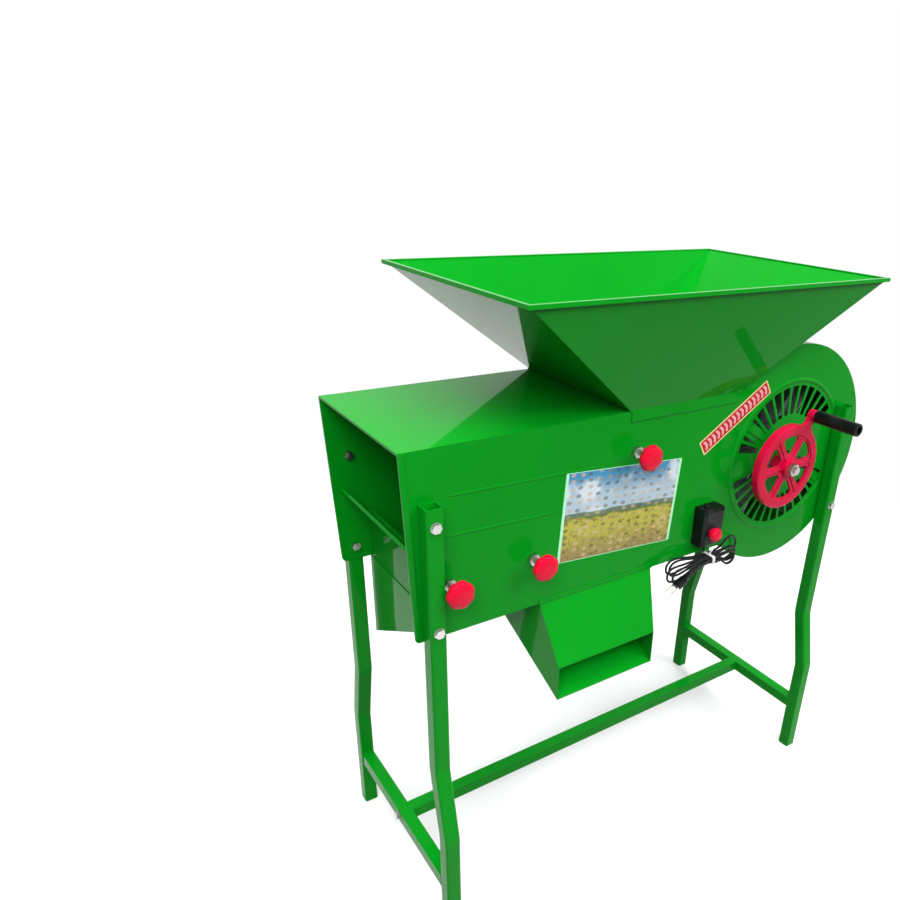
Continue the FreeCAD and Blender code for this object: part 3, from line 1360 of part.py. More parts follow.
lead_edges = tube_edges(LEAD_POINTS)
winding = hank_line()
sub_part("cord_lead", made("lead", tube_along(lead_edges)))
sub_part("cord_hank", made("hank", tube_along(winding.edges)))
for name, edges in (("cord_lead", lead_edges), ("cord_hank", winding.edges)):
    length = sum(edge.Length for edge in edges)
    print(name, "length", round(length), "volume over section times length",
          round(PARTS[name].Shape.Volume / (length * math.pi * at.cord_radius ** 2), 4))
print("least gap of the cord to itself", round(least_gap(lead_edges + winding.edges), 2))

band_room = at.cord_radius + at.seat_gap
band_y0 = first_layer - at.hank_turns * at.hank_step - band_room
band_y1 = first_layer + band_room
band_z = at.hank_waist + band_room


def band(grow):
    solid = Part.makeBox(at.tie_wide, band_y1 - band_y0 + 2 * grow, 2 * (band_z + grow),
                         Vector(waist_x - at.tie_wide / 2, band_y0 - grow, waist_z - band_z - grow))
    return solid.makeFillet(2 + grow, [e for e in solid.Edges if abs(e.tangentAt(e.FirstParameter).x) > 0.99])


tail_foot = Vector(waist_x, (band_y0 + band_y1) / 2, waist_z + band_z + at.tie_thick / 2)
tie_tail = Part.makeCylinder(1.1, 14, tail_foot, Vector(0.5, -0.2, 0.85))
sub_part("cord_tie", made("twist_tie", band(at.tie_thick).cut(band(0)).fuse(tie_tail)))


def plug_shapes():
    """A moulded two-pin plug, built along +Z and laid on the cord's last direction."""
    wide, long = at.plug_wide, at.plug_long
    neck = Part.makeCone(at.cord_radius + 0.8, at.cord_radius + 2.6, 9)
    sections = []
    waists = ((8, 4.4, 4), (15, wide / 2, 5.5), (long - 4, wide / 2, 6.5), (long, wide / 2 - 1, 5.5))
    for z, half_wide, half_thick in waists:
        box = Part.makeBox(2 * half_wide, 2 * half_thick, 1, Vector(-half_wide, -half_thick, z))
        upright = [e for e in box.Edges if abs(e.tangentAt(e.FirstParameter).z) > 0.99]
        soft_box = box.makeFillet(min(half_thick, half_wide) - 0.8, upright)
        face = min(soft_box.Faces, key=lambda f: f.CenterOfMass.z)
        sections.append(face.OuterWire)
    body = Part.makeLoft(sections, True, True).fuse(neck).removeSplitter()
    pins = []
    for side in (-1, 1):
        corner = Vector(side * at.pin_spacing / 2 - at.pin_thick / 2, -at.pin_wide / 2, long - 6)
        body = body.cut(Part.makeBox(at.pin_thick, at.pin_wide, 6, corner))
        pins.append(Part.makeBox(at.pin_thick, at.pin_wide, at.pin_long + 6, corner))
    turn = Placement(winding.here, Rotation(ALONG_Z, winding.tangent))
    spin = Placement(Vector(), Rotation(ALONG_Z, 90))
    for shape in [body] + pins:
        shape.Placement = turn.multiply(spin)
    return body, Part.Compound(pins)


plug_body, plug_pins = plug_shapes()
sub_part("power_plug", made("plug", plug_body))
sub_part("plug_pins", made("pins", plug_pins))

doc.recompute()
for thing in doc.Objects:
    if "Invalid" in thing.State or "Error" in thing.State:
        raise RuntimeError("%s failed: %s" % (thing.Label, thing.State))
for label, thing in PARTS.items():
    if thing.Shape.isNull() or not thing.Shape.isValid():
        raise RuntimeError(label + " has no sound shape")

os.makedirs("parts", exist_ok=True)
for label, thing in PARTS.items():
    thing.Shape.exportStep("parts/%s.step" % label)
    print(label, len(thing.Shape.Solids), round(thing.Shape.Volume))
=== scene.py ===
# %% [markdown]
# # A sheet-steel fanning mill
# A fanning mill cleans grain with a stream of air. Grain falls from the wide hopper past a feed gate,
# a fan blows through it, and hinged boards split what falls into heavy grain, light grain and chaff.
# The steel parts come ready as a fixed frame at their real size. These cells give every surface its
# finish, and model what a sheet-metal drawing leaves out: labels, weld beads, moulded knobs and the lead.

# %% Load the frame
import json
import math

import bmesh
import bpy
from mathutils import Matrix, Vector


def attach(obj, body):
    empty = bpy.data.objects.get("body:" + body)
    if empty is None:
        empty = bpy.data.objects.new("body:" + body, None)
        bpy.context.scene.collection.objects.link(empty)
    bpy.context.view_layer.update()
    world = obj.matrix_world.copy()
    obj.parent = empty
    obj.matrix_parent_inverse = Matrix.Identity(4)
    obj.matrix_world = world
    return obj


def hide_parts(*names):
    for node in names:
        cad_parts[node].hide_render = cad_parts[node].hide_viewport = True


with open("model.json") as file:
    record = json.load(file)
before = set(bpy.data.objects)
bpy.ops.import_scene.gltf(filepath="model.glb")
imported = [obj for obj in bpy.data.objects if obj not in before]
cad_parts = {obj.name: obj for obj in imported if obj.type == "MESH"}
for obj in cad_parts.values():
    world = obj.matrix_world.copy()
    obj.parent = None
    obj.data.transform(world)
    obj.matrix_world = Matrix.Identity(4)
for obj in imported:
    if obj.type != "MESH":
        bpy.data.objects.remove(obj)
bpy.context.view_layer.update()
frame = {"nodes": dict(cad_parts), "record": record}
record = frame["record"]

# %% [markdown]
# ## The camera
# The photograph was taken from the front left, a little above the hopper's rim. The numbers below were
# solved from the corners of the body: a place, a compass turn, a tilt and a small roll. The object sits
# right of the middle of the photograph, so the lens is shifted and not turned, which keeps its uprights.

# %% Camera
CAMERA_PLACE = (-0.8291, -0.9666, 1.1910)
CAMERA_TURN, CAMERA_TILT, CAMERA_ROLL = math.radians(-36.7), math.radians(25.5), math.radians(2.9)
FOCAL_PIXELS, FRAME_PIXELS = 760.3, 900
OPTICAL_AXIS_PIXEL = (568.1, 520.6)

camera_data = bpy.data.cameras.new("camera")
camera_data.sensor_width = 36
camera_data.sensor_fit = "HORIZONTAL"
camera_data.lens = camera_data.sensor_width * FOCAL_PIXELS / FRAME_PIXELS
camera_data.shift_x = 0.5 - OPTICAL_AXIS_PIXEL[0] / FRAME_PIXELS
camera_data.shift_y = OPTICAL_AXIS_PIXEL[1] / FRAME_PIXELS - 0.5
camera = bpy.data.objects.new("camera", camera_data)
back = Vector((math.sin(CAMERA_TURN) * math.cos(CAMERA_TILT), -math.cos(CAMERA_TURN) * math.cos(CAMERA_TILT),
               math.sin(CAMERA_TILT)))
level = Vector((math.cos(CAMERA_TURN), math.sin(CAMERA_TURN), 0))
upward = back.cross(level)
right = level * math.cos(CAMERA_ROLL) + upward * math.sin(CAMERA_ROLL)
up = upward * math.cos(CAMERA_ROLL) - level * math.sin(CAMERA_ROLL)
camera.matrix_world = Matrix.Translation(CAMERA_PLACE) @ Matrix((right, up, back)).transposed().to_4x4()
bpy.context.scene.collection.objects.link(camera)
bpy.context.scene.camera = camera
print("lens %.2f mm, shift %.3f %.3f" % (camera_data.lens, camera_data.shift_x, camera_data.shift_y))

# %% [markdown]
# ## The studio
# The mill stands in a plain white studio. Camera, glossy and see-through rays all meet white, so the
# background is clean and the metal shows it too. Light for the colours comes from soft panels, high up in
# front and overhead, and from a weaker grey sky, which only diffuse rays meet. Panels are kept out of the
# reflections, because glossy enamel would show each one as a hard white patch.

# %% Lamps
scene = bpy.context.scene
scene.view_settings.view_transform = "Standard"


def lamp(name, place, target, size, power):
    """A soft panel that looks at a target and stays out of the reflections."""
    data = bpy.data.lights.new(name, "AREA")
    data.shape = "RECTANGLE"
    data.size, data.size_y = size
    data.energy = power
    panel = bpy.data.objects.new(name, data)
    toward = Vector(target) - Vector(place)
    panel.rotation_euler = toward.to_track_quat("-Z", "Y").to_euler()
    panel.location = place
    panel.visible_glossy = False
    scene.collection.objects.link(panel)


lamp("key_panel", (-2.0, -2.4, 3.1), (0, 0, 0.7), (2.2, 1.6), 118)
lamp("front_panel", (1.6, -2.8, 3.0), (0, 0, 0.6), (2.0, 1.6), 70)
lamp("top_panel", (-0.1, -0.3, 3.4), (0, 0, 0.8), (3.0, 2.4), 122)
lamp("back_panel", (1.8, 2.8, 2.2), (0, 0, 0.7), (2.0, 1.4), 58)

# %% World
SKY = (0.26, 0.27, 0.28, 1)

world = bpy.data.worlds.new("studio")
scene.world = world
world.use_nodes = True
world.node_tree.nodes.clear()


def world_node(kind, links=(), **values):
    """A world node with values on its sockets and links from other nodes' outputs."""
    node = world.node_tree.nodes.new("ShaderNode" + kind)
    for key, value in values.items():
        setattr(node, key, value)
    for name, source in dict(links).items():
        if isinstance(source, bpy.types.NodeSocket):
            world.node_tree.links.new(source, node.inputs[name])
        else:
            node.inputs[name].default_value = source
    return node


rays = world_node("LightPath")
seen_through = world_node("Math", {0: rays.outputs["Is Camera Ray"], 1: rays.outputs["Is Transmission Ray"]},
                          operation="MAXIMUM")
sight = world_node("Math", {0: seen_through.outputs[0], 1: rays.outputs["Is Glossy Ray"]}, operation="MAXIMUM")
grey_sky = world_node("Background", {"Color": SKY})
white = world_node("Background", {"Color": (1, 1, 1, 1)})
seen = world_node("MixShader", {0: sight.outputs[0], 1: grey_sky.outputs[0], 2: white.outputs[0]})
world_node("OutputWorld", {"Surface": seen.outputs[0]})

# %% [markdown]
# ## Shader maths
# A finish is a sum of small patterns. Adding nodes by hand takes four lines for one product, so this
# small class wraps a socket and lets Python's own operators add the Math nodes. Every other node comes
# from one method, which takes its type, its settings and the values or links of its sockets.

# %% The socket wrapper


class Graph:
    """A material's nodes, with a Principled BSDF at the end."""

    def __init__(self, name):
        self.material = bpy.data.materials.new(name)
        self.material.use_nodes = True
        self.tree = self.material.node_tree
        self.tree.nodes.clear()
        output = self.tree.nodes.new("ShaderNodeOutputMaterial")
        self.shader = self.tree.nodes.new("ShaderNodeBsdfPrincipled")
        self.tree.links.new(self.shader.outputs[0], output.inputs["Surface"])
        self.place = self.node("TexCoord").out("Object")

    def connect(self, socket, value):
        if isinstance(value, Wire):
            self.tree.links.new(value.socket, socket)
        elif value is not None:
            socket.default_value = value

    def node(self, kind, settings=None, **sockets):
        """A node by its type, its settings, then its sockets by name or, as in_0, by number."""
        node = self.tree.nodes.new("ShaderNode" + kind)
        for key, value in (settings or {}).items():
            setattr(node, key, value)
        for key, value in sockets.items():
            name = int(key[3:]) if key.startswith("in_") else key.replace("_", " ")
            self.connect(node.inputs[name], value)
        return Wire(self, node.outputs[0], node)

    def finish(self, **sockets):
        for key, value in sockets.items():
            self.connect(self.shader.inputs[key.replace("_", " ")], value)
        return self.material


class Wire:
    """A shader socket that takes part in arithmetic."""

    def __init__(self, graph, socket, node):
        self.graph, self.socket, self.owner = graph, socket, node

    def out(self, name):
        return Wire(self.graph, self.owner.outputs[name], self.owner)

    def math(self, operation, *others, clamp=False):
        sockets = {"in_%d" % n: value for n, value in enumerate((self, *others))}
        return self.graph.node("Math", {"operation": operation, "use_clamp": clamp}, **sockets)

    def __add__(self, other):
        return self.math("ADD", other)

    __radd__ = __add__

    def __mul__(self, other):
        return self.math("MULTIPLY", other)

    __rmul__ = __mul__

    def __sub__(self, other):
        return self.math("SUBTRACT", other)

    def __rsub__(self, other):
        return (self * -1) + other

    def __gt__(self, other):
        return self.math("GREATER_THAN", other)

    def clamp(self):
        return self.math("ADD", 0.0, clamp=True)

    def rise(self, low, high):
        """0 below low, 1 above high, smooth between."""
        smooth = {"interpolation_type": "SMOOTHSTEP"}
        return self.graph.node("MapRange", smooth, Value=self, From_Min=low, From_Max=high)


def noise(graph, scale, detail=2.0, stretch=None):
    """A soft random pattern; stretch makes it longer along an axis."""
    spot = graph.place
    if stretch:
        spot = graph.node("Mapping", Vector=spot, Scale=stretch)
    return graph.node("TexNoise", Vector=spot, Scale=scale, Detail=detail).out("Fac")


def tint(graph, amount, low, high):
    """A colour between two, by an amount."""
    mix = graph.node("Mix", {"data_type": "RGBA"})
    graph.connect(mix.owner.inputs[0], amount)
    graph.connect(mix.owner.inputs[6], low)
    graph.connect(mix.owner.inputs[7], high)
    return Wire(graph, mix.owner.outputs[2], mix.owner)


def relief(graph, height, depth, below=None):
    """Turns a height pattern into a normal; depth is the height of 1 in metres."""
    return graph.node("Bump", Height=height, Distance=depth, Strength=1.0, Normal=below)


def soft_edge(graph, radius):
    """A rounded look on a sharp folded or cut edge."""
    return graph.node("Bevel", {"samples": 4}, Radius=radius)


# %% [markdown]
# ## Green gloss paint
# The mill is sprayed with a thick glossy enamel over folded sheet. Three things make it read as paint on
# thin steel: long shallow waves in the sheet that bend the reflections, the fine orange peel of sprayed
# enamel, and a little dust where hands and grain have been. The gloss is a clear coat over a softer base.

# %% Paint

GREEN_DEEP = (0.0006, 0.205, 0.006, 1)
GREEN_LIGHT = (0.0012, 0.300, 0.013, 1)
DUST = (0.300, 0.330, 0.240, 1)


def shaded(colour, amount):
    """A colour times an amount, with its alpha kept."""
    return [part * amount for part in colour[:3]] + [1]


def green_paint(name="green_paint", wave_depth=0.0011, dust_amount=0.05, shade=1.0):
    """Sprayed enamel on sheet steel."""
    g = Graph(name)
    waves = noise(g, 5.5, 1.5)
    peel = noise(g, 420, 1.0)
    drift = noise(g, 3.1, 4.0)
    specks = noise(g, 95, 6.0)
    # shade scales the whole green down; inner_paint's 0.9 is painted shade for the inside of the body.
    colour = tint(g, drift, shaded(GREEN_DEEP, shade), shaded(GREEN_LIGHT, shade))
    dusty = (specks.rise(0.60, 0.80) * drift.rise(0.40, 0.70)) * dust_amount
    colour = tint(g, dusty, colour, DUST)
    normal = relief(g, waves, wave_depth, soft_edge(g, 0.0009))
    normal = relief(g, peel, 0.0000035, normal)
    return g.finish(Base_Color=colour, Roughness=drift * 0.10 + 0.42 + dusty, Specular_IOR_Level=0.02,
                    Normal=normal, Coat_Weight=1.0, Coat_Roughness=0.04, Coat_IOR=1.13)


def inner_paint(name="inner_paint"):
    """The same enamel inside the body, thinner, duller and dusty from grain, its colour darkened a tenth as
    painted shade.
    """
    return green_paint(name, 0.0008, 0.22, 0.9)


# %% [markdown]
# ## Cast, moulded and plated finishes
# The crank wheel is cast iron under red enamel, so it keeps the faint grain of the sand mould. The hand
# knobs are moulded plastic, smoother and more even. Bolts are zinc plated, and the fan inside is
# galvanised sheet with its crystal pattern.

# %% Red cast paint and red plastic

CAST_RED = (0.640, 0.003, 0.050, 1)
CAST_RED_DARK = (0.480, 0.002, 0.030, 1)
KNOB_RED = (0.730, 0.001, 0.030, 1)


def red_wheel_paint(name="red_wheel_paint"):
    g = Graph(name)
    sand = noise(g, 260, 5.0)
    pools = noise(g, 26, 3.0)
    colour = tint(g, pools.rise(0.3, 0.7), CAST_RED_DARK, CAST_RED)
    normal = relief(g, sand, 0.00008, soft_edge(g, 0.0016))
    normal = relief(g, pools, 0.0005, normal)
    return g.finish(Base_Color=colour, Roughness=sand * 0.15 + 0.36, Specular_IOR_Level=0.05, Normal=normal,
                    Coat_Weight=0.8, Coat_Roughness=0.08, Coat_IOR=1.2)


def red_knob(name="red_knob"):
    g = Graph(name)
    mottle = noise(g, 60, 2.0)
    scuffs = noise(g, 340, 5.0)
    colour = tint(g, mottle, shaded(KNOB_RED, 0.88), KNOB_RED)
    colour = tint(g, scuffs.rise(0.66, 0.78) * 0.12, colour, (0.75, 0.25, 0.25, 1))
    normal = relief(g, scuffs, 0.00001, soft_edge(g, 0.0012))
    return g.finish(Base_Color=colour, Roughness=scuffs * 0.12 + 0.22, Specular_IOR_Level=0.08, Normal=normal,
                    Coat_Weight=0.6, Coat_IOR=1.22, Coat_Roughness=0.06,
                    Subsurface_Weight=0.04, Subsurface_Radius=(0.004, 0.001, 0.001))


# %% Black plastic and the cord's sheath


def black_plastic(name="black_plastic"):
    g = Graph(name)
    grain = noise(g, 900, 3.0)
    worn = noise(g, 38, 4.0)
    colour = tint(g, worn.rise(0.45, 0.75), (0.004, 0.005, 0.005, 1), (0.014, 0.016, 0.016, 1))
    normal = relief(g, grain, 0.00003, soft_edge(g, 0.0012))
    return g.finish(Base_Color=colour, Roughness=worn * 0.18 + 0.30, Specular_IOR_Level=0.16, Normal=normal)


def cord_jacket(name="cord_jacket"):
    g = Graph(name)
    rub = noise(g, 180, 4.0)
    colour = tint(g, rub.rise(0.4, 0.8), (0.009, 0.009, 0.010, 1), (0.030, 0.030, 0.031, 1))
    return g.finish(Base_Color=colour, Roughness=rub * 0.2 + 0.36, Specular_IOR_Level=0.2,
                    Normal=relief(g, rub, 0.00004))


def tie_wire(name="tie_wire"):
    g = Graph(name)
    soil = noise(g, 140, 3.0)
    colour = tint(g, soil.rise(0.5, 0.8), (0.78, 0.78, 0.76, 1), (0.50, 0.49, 0.46, 1))
    return g.finish(Base_Color=colour, Roughness=0.35, Normal=relief(g, soil, 0.00005))


# %% Metals


def metal(name, low, high, rough, scratch_depth, stretch, edge=0.0006):
    """A bare or plated metal with fine marks along one direction."""
    g = Graph(name)
    marks = noise(g, 300, 3.0, stretch=stretch)
    cloud = noise(g, 30, 4.0)
    colour = tint(g, cloud, low, high)
    normal = relief(g, marks, scratch_depth, soft_edge(g, edge))
    roughness = cloud * 0.16 + marks * 0.12 + rough
    return g.finish(Base_Color=colour, Metallic=1.0, Roughness=roughness, Normal=normal)


def zinc(name="zinc"):
    return metal(name, (0.40, 0.39, 0.36, 1), (0.62, 0.62, 0.62, 1), 0.22, 0.00003, (1, 0.3, 1))


def steel(name="steel"):
    return metal(name, (0.42, 0.41, 0.40, 1), (0.60, 0.59, 0.58, 1), 0.18, 0.00003, (0.2, 1, 0.2))


def brass_pin(name="brass_pin"):
    return metal(name, (0.62, 0.60, 0.52, 1), (0.78, 0.76, 0.68, 1), 0.12, 0.00001, (1, 1, 1), 0.0003)


def galvanised(name="galvanised"):
    """Zinc crystals: a cell pattern, each cell with its own shade."""
    g = Graph(name)
    cells = g.node("TexVoronoi", Vector=g.place, Scale=85.0)
    shade = g.node("SeparateColor", Color=cells.out("Color")).out("Red")
    stain = noise(g, 12, 4.0)
    colour = tint(g, shade, (0.40, 0.42, 0.43, 1), (0.66, 0.68, 0.70, 1))
    colour = tint(g, stain.rise(0.52, 0.72) * 0.5, colour, (0.30, 0.31, 0.28, 1))
    return g.finish(Base_Color=colour, Metallic=0.9, Roughness=shade * 0.2 + stain * 0.2 + 0.22,
                    Normal=relief(g, stain, 0.0002, soft_edge(g, 0.0006)))


def cast_housing(name="cast_housing"):
    g = Graph(name)
    sand = noise(g, 320, 5.0)
    stain = noise(g, 22, 3.0)
    colour = tint(g, stain, (0.045, 0.050, 0.050, 1), (0.100, 0.105, 0.100, 1))
    return g.finish(Base_Color=colour, Metallic=0.4, Roughness=sand * 0.2 + 0.45,
                    Normal=relief(g, sand, 0.00018, soft_edge(g, 0.001)))


def motor_paint(name="motor_paint"):
    g = Graph(name)
    sand = noise(g, 480, 3.0)
    stain = noise(g, 16, 4.0)
    colour = tint(g, stain, (0.030, 0.034, 0.038, 1), (0.062, 0.068, 0.074, 1))
    normal = relief(g, sand, 0.00006, soft_edge(g, 0.001))
    return g.finish(Base_Color=colour, Roughness=stain * 0.15 + 0.34, Normal=normal,
                    Coat_Weight=0.25, Coat_Roughness=0.2)


# %% [markdown]
# ## Finishes onto the frame
# Each sub-part in the frame's record names the finish that it has. One loop makes each material once
# and gives it to its nodes.

# %% Give every node its finish
FINISH_MAKERS = (green_paint, inner_paint, red_wheel_paint, red_knob, black_plastic, cord_jacket, tie_wire,
                 zinc, steel, brass_pin, galvanised, cast_housing, motor_paint)
FINISHES = {maker.__name__: maker for maker in FINISH_MAKERS}
finishes = {}
for subpart in record["subparts"]:
    slot_name = subpart["material_slot"]
    if slot_name not in finishes:
        finishes[slot_name] = FINISHES[slot_name]()
    node = frame["nodes"][subpart["node"]]
    node.data.materials.clear()
    node.data.materials.append(finishes[slot_name])
print("finishes:", ", ".join(sorted(finishes)))

# %% [markdown]
# ## Floor
# The mill stands on a plain white floor. A real white floor would throw its light up under the hopper and
# wash the deep green out, so the floor is white to the camera and to anything shiny, and grey to the light
# that bounces off it. Some way out it turns into plain white, so no horizon shows, and near the feet it
# keeps the mill's own soft shadow.

# %% Floor
floor_bm = bmesh.new()
FLOOR_HALF_SIDE, WHITE_STARTS, WHITE_FULL = 8, 0.9, 2.2
bmesh.ops.create_grid(floor_bm, x_segments=1, y_segments=1, size=FLOOR_HALF_SIDE)
floor_mesh = bpy.data.meshes.new("studio_floor")
floor_bm.to_mesh(floor_mesh)
floor_bm.free()
floor = bpy.data.objects.new("studio_floor", floor_mesh)
scene.collection.objects.link(floor)
WHITE, BOUNCE_GREY, BLACK = (1, 1, 1, 1), (0.07, 0.08, 0.07, 1), (0, 0, 0, 1)
floor_graph = Graph("floor_paint")
floor_rays = floor_graph.node("LightPath")
looked_at = (floor_rays.out("Is Camera Ray") + floor_rays.out("Is Glossy Ray")
             + floor_rays.out("Is Transmission Ray")).clamp()
from_middle = floor_graph.node("VectorMath", {"operation": "LENGTH"}, in_0=floor_graph.place).out("Value")
plain_white = from_middle.rise(WHITE_STARTS, WHITE_FULL) * looked_at
NEAR_WHITE = (0.96, 0.96, 0.96, 1)
near_paint = tint(floor_graph, looked_at, BOUNCE_GREY, NEAR_WHITE)
painted = tint(floor_graph, plain_white, near_paint, BLACK)
floor_mesh.materials.append(floor_graph.finish(Base_Color=painted, Roughness=1.0, Specular_IOR_Level=0.0,
                                               Emission_Color=tint(floor_graph, plain_white, BLACK, WHITE),
                                               Emission_Strength=1.0))

# %% [markdown]
# ## The mains lead
# A thin black two-core lead leaves the gland under the speed controller, makes one round loop and goes
# into a hank tied at its waist. A lead is one flexible line, so it is one spline with a round bevel. The
# loops come from a formula: from the waist out to a fold and back, a cord's width further forward with
# each turn. A quadratic NURBS touches each leg of its control points halfway, so the points stand
# outside the folds, at the corners of an eight-sided figure round each.

# %% Route of the lead, in metres
CORD_RADIUS = 0.002
GLAND_FOOT = Vector((0.086, -0.146, 0.579))
LAYER, LAYER_STEP = -0.152, 0.005
WAIST_X, WAIST_Z, WAIST_HALF_GAP, WAIST_HALF = 0.084, 0.565, 0.0032, 0.013
FOLD_LEFT, FOLD_RIGHT = 0.014, 0.0125
HANK_TURNS = 4

route = [GLAND_FOOT, (0.086, -0.146, 0.562), (0.096, -0.146, 0.545), (0.114, -0.146, 0.5375),
         (0.137, -0.146, 0.537), (0.157, -0.1462, 0.542), (0.169, -0.1466, 0.556), (0.168, -0.1472, 0.574),
         (0.154, -0.1484, 0.586), (0.136, -0.1498, 0.583), (0.119, LAYER, WAIST_Z + WAIST_HALF_GAP)]


def sway(start, end):
    """Two points that carry the cord from one line to a parallel one."""
    quarter = (end.x - start.x) / 4
    return [Vector((start.x + quarter, start.y, start.z)), Vector((end.x - quarter, end.y, end.z))]


def fold(centre, radius, side):
    """Four corners round half a turn; side is -1 at the left end, which runs down, and 1 at the right."""
    corners = []
    for step in range(4):
        angle = math.radians(67.5 - 45 * step) * (1 if side < 0 else -1)
        reach = radius / math.cos(math.radians(22.5))
        corners.append(centre + Vector((side * reach * math.cos(angle), 0, reach * math.sin(angle))))
    return corners


for k in range(HANK_TURNS):
    layer = LAYER - k * LAYER_STEP
    ahead = layer - LAYER_STEP
    left = Vector((WAIST_X - 0.078 + 0.005 * math.sin(2.4 * k), layer,
                   WAIST_Z - 0.002 - 0.004 * k + 0.002 * math.sin(1.9 * k)))
    right_end = Vector((WAIST_X + 0.058 - 0.005 * k, ahead, WAIST_Z - 0.007 + 0.002 * math.sin(2.1 * k)))
    fold_left = FOLD_LEFT + 0.001 * math.sin(3.1 * k)
    fold_right = FOLD_RIGHT + 0.0008 * math.sin(1.3 * k)
    high, low = WAIST_Z + WAIST_HALF_GAP, WAIST_Z - WAIST_HALF_GAP
    near_left, near_right = WAIST_X - WAIST_HALF, WAIST_X + WAIST_HALF
    route += sway(Vector((near_left, layer, high)), left + Vector((0, 0, fold_left)))
    route += fold(left, fold_left, -1)
    route += sway(left - Vector((0, 0, fold_left)), Vector((near_left, ahead, low)))
    route += sway(Vector((near_right, ahead, low)), right_end - Vector((0, 0, fold_right)))
    route += fold(right_end, fold_right, 1)
    route += sway(right_end + Vector((0, 0, fold_right)), Vector((near_right, ahead, high)))
last = LAYER - HANK_TURNS * LAYER_STEP
front, plug_high = last - 0.0075, high - 0.001
route += sway(Vector((WAIST_X - 0.005, last, high)), Vector((WAIST_X - 0.033, front, plug_high)))
turn_down = math.atan2(0.0065, 0.024)
reach_down = math.hypot(0.024, 0.0065) / 2 / math.cos(turn_down)
corner = Vector((WAIST_X - 0.033 - reach_down, front, plug_high))
heading = Vector((-math.cos(2 * turn_down), 0, -math.sin(2 * turn_down)))
route += [corner, corner + heading * (reach_down + 0.005)]
print("route points:", len(route))

# %% The lead as one curve
lead_curve = bpy.data.curves.new("mains_lead", "CURVE")
lead_curve.dimensions = "3D"
lead_curve.bevel_depth = CORD_RADIUS
lead_curve.bevel_resolution = 4
lead_curve.resolution_u = 6
lead_curve.use_fill_caps = True
spline = lead_curve.splines.new("NURBS")
spline.points.add(len(route) - 1)
for point, place in zip(spline.points, route):
    point.co = (*place, 1)
spline.order_u = 3
spline.use_endpoint_u = True
lead_curve.materials.append(finishes["cord_jacket"])
mains_lead = bpy.data.objects.new("mains_lead", lead_curve)
scene.collection.objects.link(mains_lead)
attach(mains_lead, "root")
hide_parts("cord_lead", "cord_hank")

# %% [markdown]
# ## Finishing a new piece
# Every new piece ends the same way: its doubles are merged, its faces are turned outwards, it gets its
# finish and it rides on a body. Its place is already in its mesh, so the object stays at the origin and
# patterns on Object coordinates stay where they are when the body turns.

# %% From a bmesh to a piece


def make_piece(name, bm, finish, body="root"):
    bmesh.ops.remove_doubles(bm, verts=bm.verts, dist=1e-6)
    bmesh.ops.recalc_face_normals(bm, faces=bm.faces)
    mesh = bpy.data.meshes.new(name)
    bm.to_mesh(mesh)
    bm.free()
    mesh.shade_smooth()
    mesh.materials.append(finish)
    piece = bpy.data.objects.new(name, mesh)
    scene.collection.objects.link(piece)
    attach(piece, body)
    print(name, len(mesh.polygons), "faces")
    return piece


# %% [markdown]
# ## Hand knobs
# Three red knobs clamp the boards. Each is a moulded button with seven shallow finger hollows and a domed
# front. Spinning half of its outline round the shaft gives a true round body, and moving the points in by
# a cosine of their angle then presses the hollows in. The middle of the dome stays round, because the
# hollows fade out towards it.

# %% Lobed knobs
KNOB_OUTLINE = ((0.0, 0.166), (0.0095, 0.166), (0.0125, 0.1672), (0.0180, 0.1690), (0.0208, 0.1712),
                (0.0215, 0.1745), (0.0212, 0.1775), (0.0196, 0.1802), (0.0160, 0.1820), (0.0110, 0.1828),
                (0.0055, 0.1830), (0.0, 0.1830))
KNOB_LOBES, HOLLOW, DOME_RADIUS = 7, 0.055, 0.009
KNOB_PLACES = {"tail_board": (-0.414, 0.650), "divider": (-0.275, 0.652), "feed_gate": (-0.089, 0.788)}

for board, (knob_x, knob_z) in KNOB_PLACES.items():
    bm = bmesh.new()
    outline = [bm.verts.new((radius, -depth, 0)) for radius, depth in KNOB_OUTLINE]
    edges = [bm.edges.new(pair) for pair in zip(outline, outline[1:])]
    bmesh.ops.spin(bm, geom=outline + edges, cent=(0, 0, 0), axis=(0, 1, 0), angle=math.tau, steps=84,
                   use_merge=True, use_duplicate=False)
    bmesh.ops.remove_doubles(bm, verts=bm.verts, dist=1e-6)
    for vert in bm.verts:
        radius = math.hypot(vert.co.x, vert.co.z)
        press = min(1.0, max(0.0, (radius - DOME_RADIUS) / DOME_RADIUS))
        angle = math.atan2(vert.co.z, vert.co.x)
        squeeze = 1 - press * HOLLOW * (1 + math.cos(KNOB_LOBES * angle)) / 2
        vert.co.x *= squeeze
        vert.co.z *= squeeze
    bmesh.ops.translate(bm, verts=bm.verts, vec=(knob_x, 0, knob_z))
    knob = make_piece(board + "_hand_knob", bm, finishes["red_knob"], board)
    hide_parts(board + "_knob")

# %% [markdown]
# ## The labels
# Two printed films are stuck on the front sheet. They are thin real plates with rounded corners, so their
# edges catch the light. The pictures are this lesson's own: seeds over a field under the sky, and a strip
# of chevrons. A Mapping node of the Texture kind turns object coordinates into the label's own, from -1 to
# 1 across and up, so each pattern sits square on its tilted label.

# %% A plate on the front sheet
SHEET_FRONT, FILM = -0.1401, 0.0003


def label_frame(centre, size, tilt):
    """Moves a grid of half-size 1 in the XY plane onto the front sheet."""
    return (Matrix.Translation((centre[0], SHEET_FRONT, centre[1])) @ Matrix.Rotation(tilt, 4, "Y")
            @ Matrix.Rotation(math.radians(90), 4, "X") @ Matrix.Diagonal((size[0] / 2, size[1] / 2, 1, 1)))


